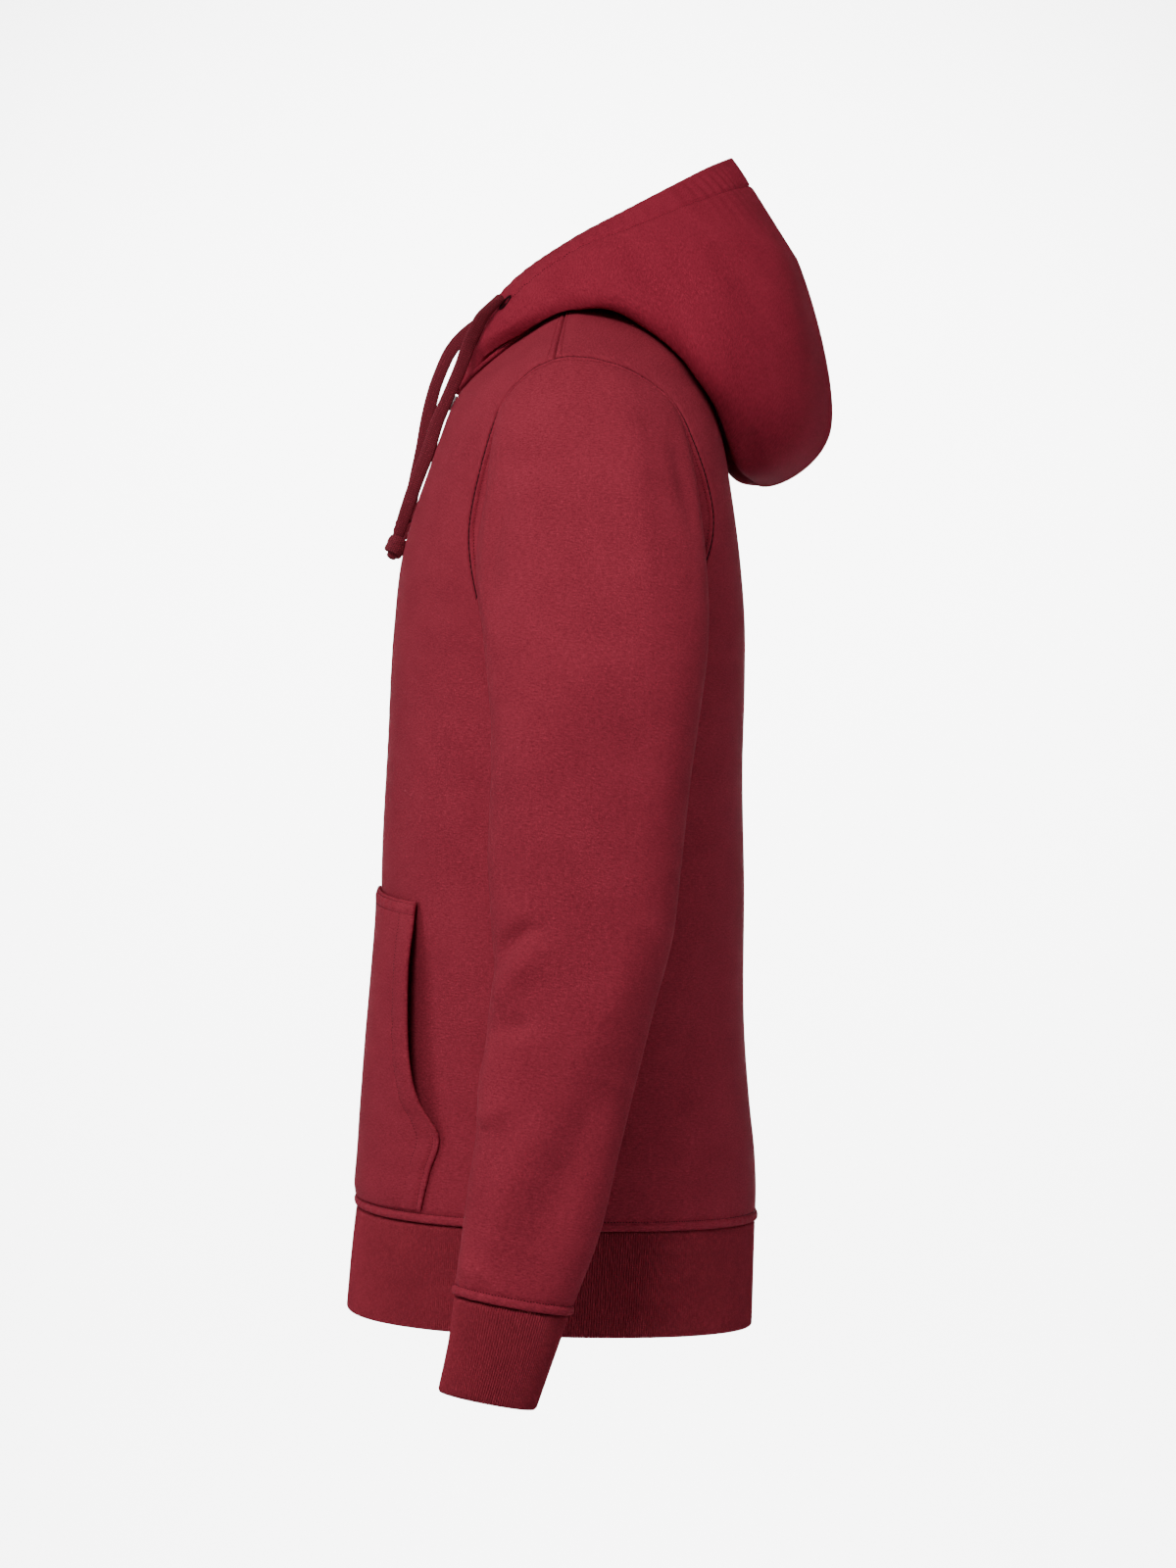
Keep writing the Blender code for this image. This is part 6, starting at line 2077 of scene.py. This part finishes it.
@dataclass
class Slider:
    """The zip's slider with its bridge, and the pull that hangs in it."""

    finishes: Finishes
    height: float = -0.072
    plate: Pair = (0.0042, 0.0055)
    bridge_half: float = 0.0008
    pull_lines: tuple[float, ...] = (-0.018, -0.0152, -0.0112, -0.0065, -0.003, 0.0005, 0.002)
    pull_widths: tuple[float, ...] = (-0.0028, -0.0013, 0.0013, 0.0028)
    pull_out: float = 0.0031
    pull_thick: float = 0.0012

    def matrix(self) -> Matrix:
        """From the slider's places (across, up the zip, out of it) to the garment's."""
        origin = TORSO.points(0.0, self.height)
        out = unit(TORSO.normals(0.0, self.height) * np.array([0.0, 1.0, 1.0]))
        up = np.cross(out, LEFT)
        rows = np.eye(4)
        rows[:3, 0], rows[:3, 1], rows[:3, 2], rows[:3, 3] = (1, 0, 0), up, out, origin
        return Matrix(rows.tolist())

    def body(self) -> Object:
        """The channel, the shield-shaped top plate with its flanges, and the bridge."""
        wide, long = self.plate
        half = self.bridge_half
        channel = block("channel", (-0.0026, -0.0045, -0.0034), (0.0026, 0.0045, 0.0007))
        rounded(channel, 0.0004)
        back = block("back_plate", (-wide, -long, -0.0046), (wide, long, -0.0034))
        top = block("top_plate", (-wide, -long, 0.0005), (wide, long, 0.0017))
        for part in (back, top):
            pick(part, lambda at: at.y < -long + 1e-6)
            bpy.ops.transform.resize(value=(0.66, 1, 1))
        rounded(back, 0.0004)
        pick(top, lambda at: at.z > 0.0016)
        bpy.ops.mesh.inset(thickness=0.001, depth=0.0)
        bpy.ops.transform.translate(value=(0, 0, 0.0005))
        pick(top, lambda at: abs(at.x) > wide * 0.7 and at.z < 0.0016)
        bpy.ops.mesh.extrude_region_move(TRANSFORM_OT_translate={"value": (0, 0, 0)})
        bpy.ops.transform.resize(value=(1.04, 1, 1))
        rounded(top, 0.00035)
        bridge = block("bridge", (-half, -0.0048, 0.0015), (half, -0.0036, 0.0019))
        pick(bridge, lambda at: at.z > 0.00189)
        bpy.ops.mesh.spin(steps=12, angle=math.pi, center=(0, 0, 0.0019), axis=(-1, 0, 0),
            use_auto_merge=False)
        bpy.ops.object.mode_set(mode="OBJECT")
        for vertex in bridge.data.vertices:
            if vertex.co.z > 0.0019:
                vertex.co.z = 0.0019 + (vertex.co.z - 0.0019) * 0.82
        pick(bridge, lambda at: True)
        bpy.ops.mesh.remove_doubles(threshold=1e-6)
        bpy.ops.mesh.normals_make_consistent(inside=False)
        rounded(bridge, 0.00025, 2)
        alone(top)
        for part in (back, channel, bridge):
            part.select_set(True)
        bpy.ops.object.join()
        return named("zip_slider")

    def pull(self) -> Object:
        """The pull: a bar in the bridge, two sides, and a slotted tab that widens downwards."""
        made = plate("zip_pull", self.pull_widths, self.pull_lines, self.pull_out)
        pick(made, lambda at: abs(at.x) < 0.001 and
            (-0.0065 < at.y < 0.0005 or -0.0152 < at.y < -0.0112))
        bpy.ops.mesh.delete(type="FACE")
        pick(made, lambda at: at.y < -0.0178, "EDGE")
        bpy.ops.transform.resize(value=(0.72, 1, 1))
        modify(made, "SOLIDIFY", thickness=self.pull_thick, offset=0.0)
        return rounded(made, 0.0004)

    def foot(self) -> Object:
        """The box and pin at the foot of the zip, on the hem band's edge."""
        box = block("zip_foot", (-0.0045, -0.005, -0.0022), (0.0045, 0.005, 0.0014))
        pick(box, lambda at: at.z > 0.0013)
        bpy.ops.mesh.inset(thickness=0.0012, depth=0.0)
        bpy.ops.transform.translate(value=(0, 0, 0.0004))
        pick(box, lambda at: at.y > 0.0049)
        bpy.ops.mesh.inset(thickness=0.001, depth=-0.0012)
        return rounded(box, 0.0004)

    def build(self) -> None:
        """Makes the slider, the pull and the foot."""
        metal, origin = self.finishes.metal, TORSO.points(0.0, HEM_EDGE[0] + 0.0068)
        dress(placed(self.body(), self.matrix(), metal), "slider", "plated_zinc")
        dress(placed(self.pull(), self.matrix(), metal), "pull_tab", "plated_zinc", "pull")
        foot = Matrix.Translation(Vector(origin) + Vector((0.0, 0.0045, 0.0)))
        foot = foot @ Matrix.Rotation(QUARTER, 4, "X")
        dress(placed(self.foot(), foot, self.finishes.teeth), None, TAPE_SLOT)


# ---- studio ----
@dataclass(frozen=True)
class Paper(Finish):
    """Matt white paper, plain all over."""

    def dress(self, tree: bpy.types.NodeTree, shader: bpy.types.Node) -> None:
        """One dull white."""
        wire(shader, in_Base_Color=linear("#f7f7f7"), in_Roughness=0.9)


@dataclass
class Studio:
    """A wide, plain, pale floor that turns up into a wall all round, soft light and the camera."""

    distance: float = 4.5
    across: float = 0.01005
    height: float = -0.33165
    metres_per_pixel: float = 0.67e-3
    radius: float = 12.0
    bend: float = 1.6
    floor: float = -3.2
    wall: float = 3.2
    world: float = 0.3
    # name, place, aim, size, power and colour of each lamp
    lamps: tuple[tuple, ...] = (("softbox", (2.6, -0.75, 1.7), (0.0, 0.0, -0.35), 1.2, 95.0,
        "#fffdfa"), ("front lamp", (-0.3, -2.6, 0.2), (0.0, 0.0, -0.45), 1.1, 27.0, "#ffffff"),
        ("rear lamp", (1.5, 2.4, 0.6), (0.0, 0.0, -0.1), 1.1, 10.0, "#ffffff"))

    @staticmethod
    def put(name: str, data: bpy.types.ID, place: Point, aim: Point) -> Object:
        """Puts a lamp or camera where it looks at a point."""
        made = bpy.data.objects.new(name, data)
        made.location = place
        made.rotation_euler = (Vector(aim) - Vector(place)).to_track_quat("-Z", "Y").to_euler()
        bpy.context.scene.collection.objects.link(made)
        return made

    def camera(self) -> None:
        """The camera, square on to the wearer's left side."""
        data = bpy.data.cameras.new("camera")
        data.sensor_fit = "VERTICAL"
        data.sensor_height = 36.0
        data.sensor_width = 27.0
        data.lens = 36.0 * self.distance / (1600 * self.metres_per_pixel)
        data.clip_end = 60.0
        level = (self.across, self.height)
        made = self.put("camera", data, (self.distance, *level), (0.0, *level))
        made.rotation_euler = (QUARTER, 0.0, QUARTER)
        bpy.context.scene.camera = made

    def light(self) -> None:
        """Round soft lamps, and a narrow one that lifts the wall behind to a clean white."""
        for name, place, aim, size, power, colour in self.lamps:
            data = bpy.data.lights.new(name, "AREA")
            data.shape = "DISK"
            data.size = size
            data.energy = power
            data.color = linear(colour)[:3]
            self.put(name, data, place, aim)
        data = bpy.data.lights.new("wall wash", "SPOT")
        data.energy = 26000.0
        data.spot_size = 0.95
        data.spot_blend = 1.0
        data.shadow_soft_size = 0.5
        self.put("wall wash", data, (-4.0, 0.0, 3.4), (-self.radius, 0.0, self.height - 0.4))

    def paper(self) -> None:
        """The floor and wall, as one turned sheet of matt paper."""
        turn = np.linspace(0, QUARTER, 13)
        reach = self.radius - self.bend * (1 - np.sin(turn))
        height = self.floor + self.bend * (1 - np.cos(turn))
        reach, height = np.append(reach, self.radius)[:, None], np.append(height, self.wall)
        around = np.linspace(0, 2 * math.pi, 97)[:-1]
        height = np.repeat(height[:, None], 96, axis=1)
        points = np.stack([reach * np.cos(around), reach * np.sin(around), height], axis=-1)
        flat = closed(points, 1)[..., :2]
        builder = MeshBuilder()
        numbers = builder.add_grid(points, flat, True)
        middle = builder.add_points(np.array([[0.0, 0.0, self.floor]]))[0]
        fan = np.stack([numbers[0, 1:], numbers[0, :-1], np.full(96, middle)], axis=-1)
        builder.add_faces(fan, np.zeros((96, 3, 2)))
        builder.make("studio_paper", Paper("paper, matt white").make())

    def build(self) -> None:
        """Lights, floor and wall."""
        self.light()
        self.paper()
        world = bpy.data.worlds.new("studio")
        world.use_nodes = True
        background = world.node_tree.nodes["Background"]
        wire(background, in_Color=linear("#ffffff"), in_Strength=self.world)
        bpy.context.scene.world = world


def main() -> None:
    """Builds the garment round its frame, and the studio round both."""
    logging.basicConfig(level=logging.INFO, format="%(name)s: %(message)s")
    studio = Studio()
    studio.camera()
    finishes = Finishes()
    cords = [Drawcord(finishes, *row) for row in DRAWCORDS]
    for part in (*cords, Eyelet(finishes), Body(finishes), Sleeve(finishes), Ribs(finishes),
            Hood(finishes), Pocket(finishes), Zip(finishes), Slider(finishes)):
        LOG.info("%s", type(part).__name__)
        part.build()
    studio.build()


if __name__ == "__main__":
    main()
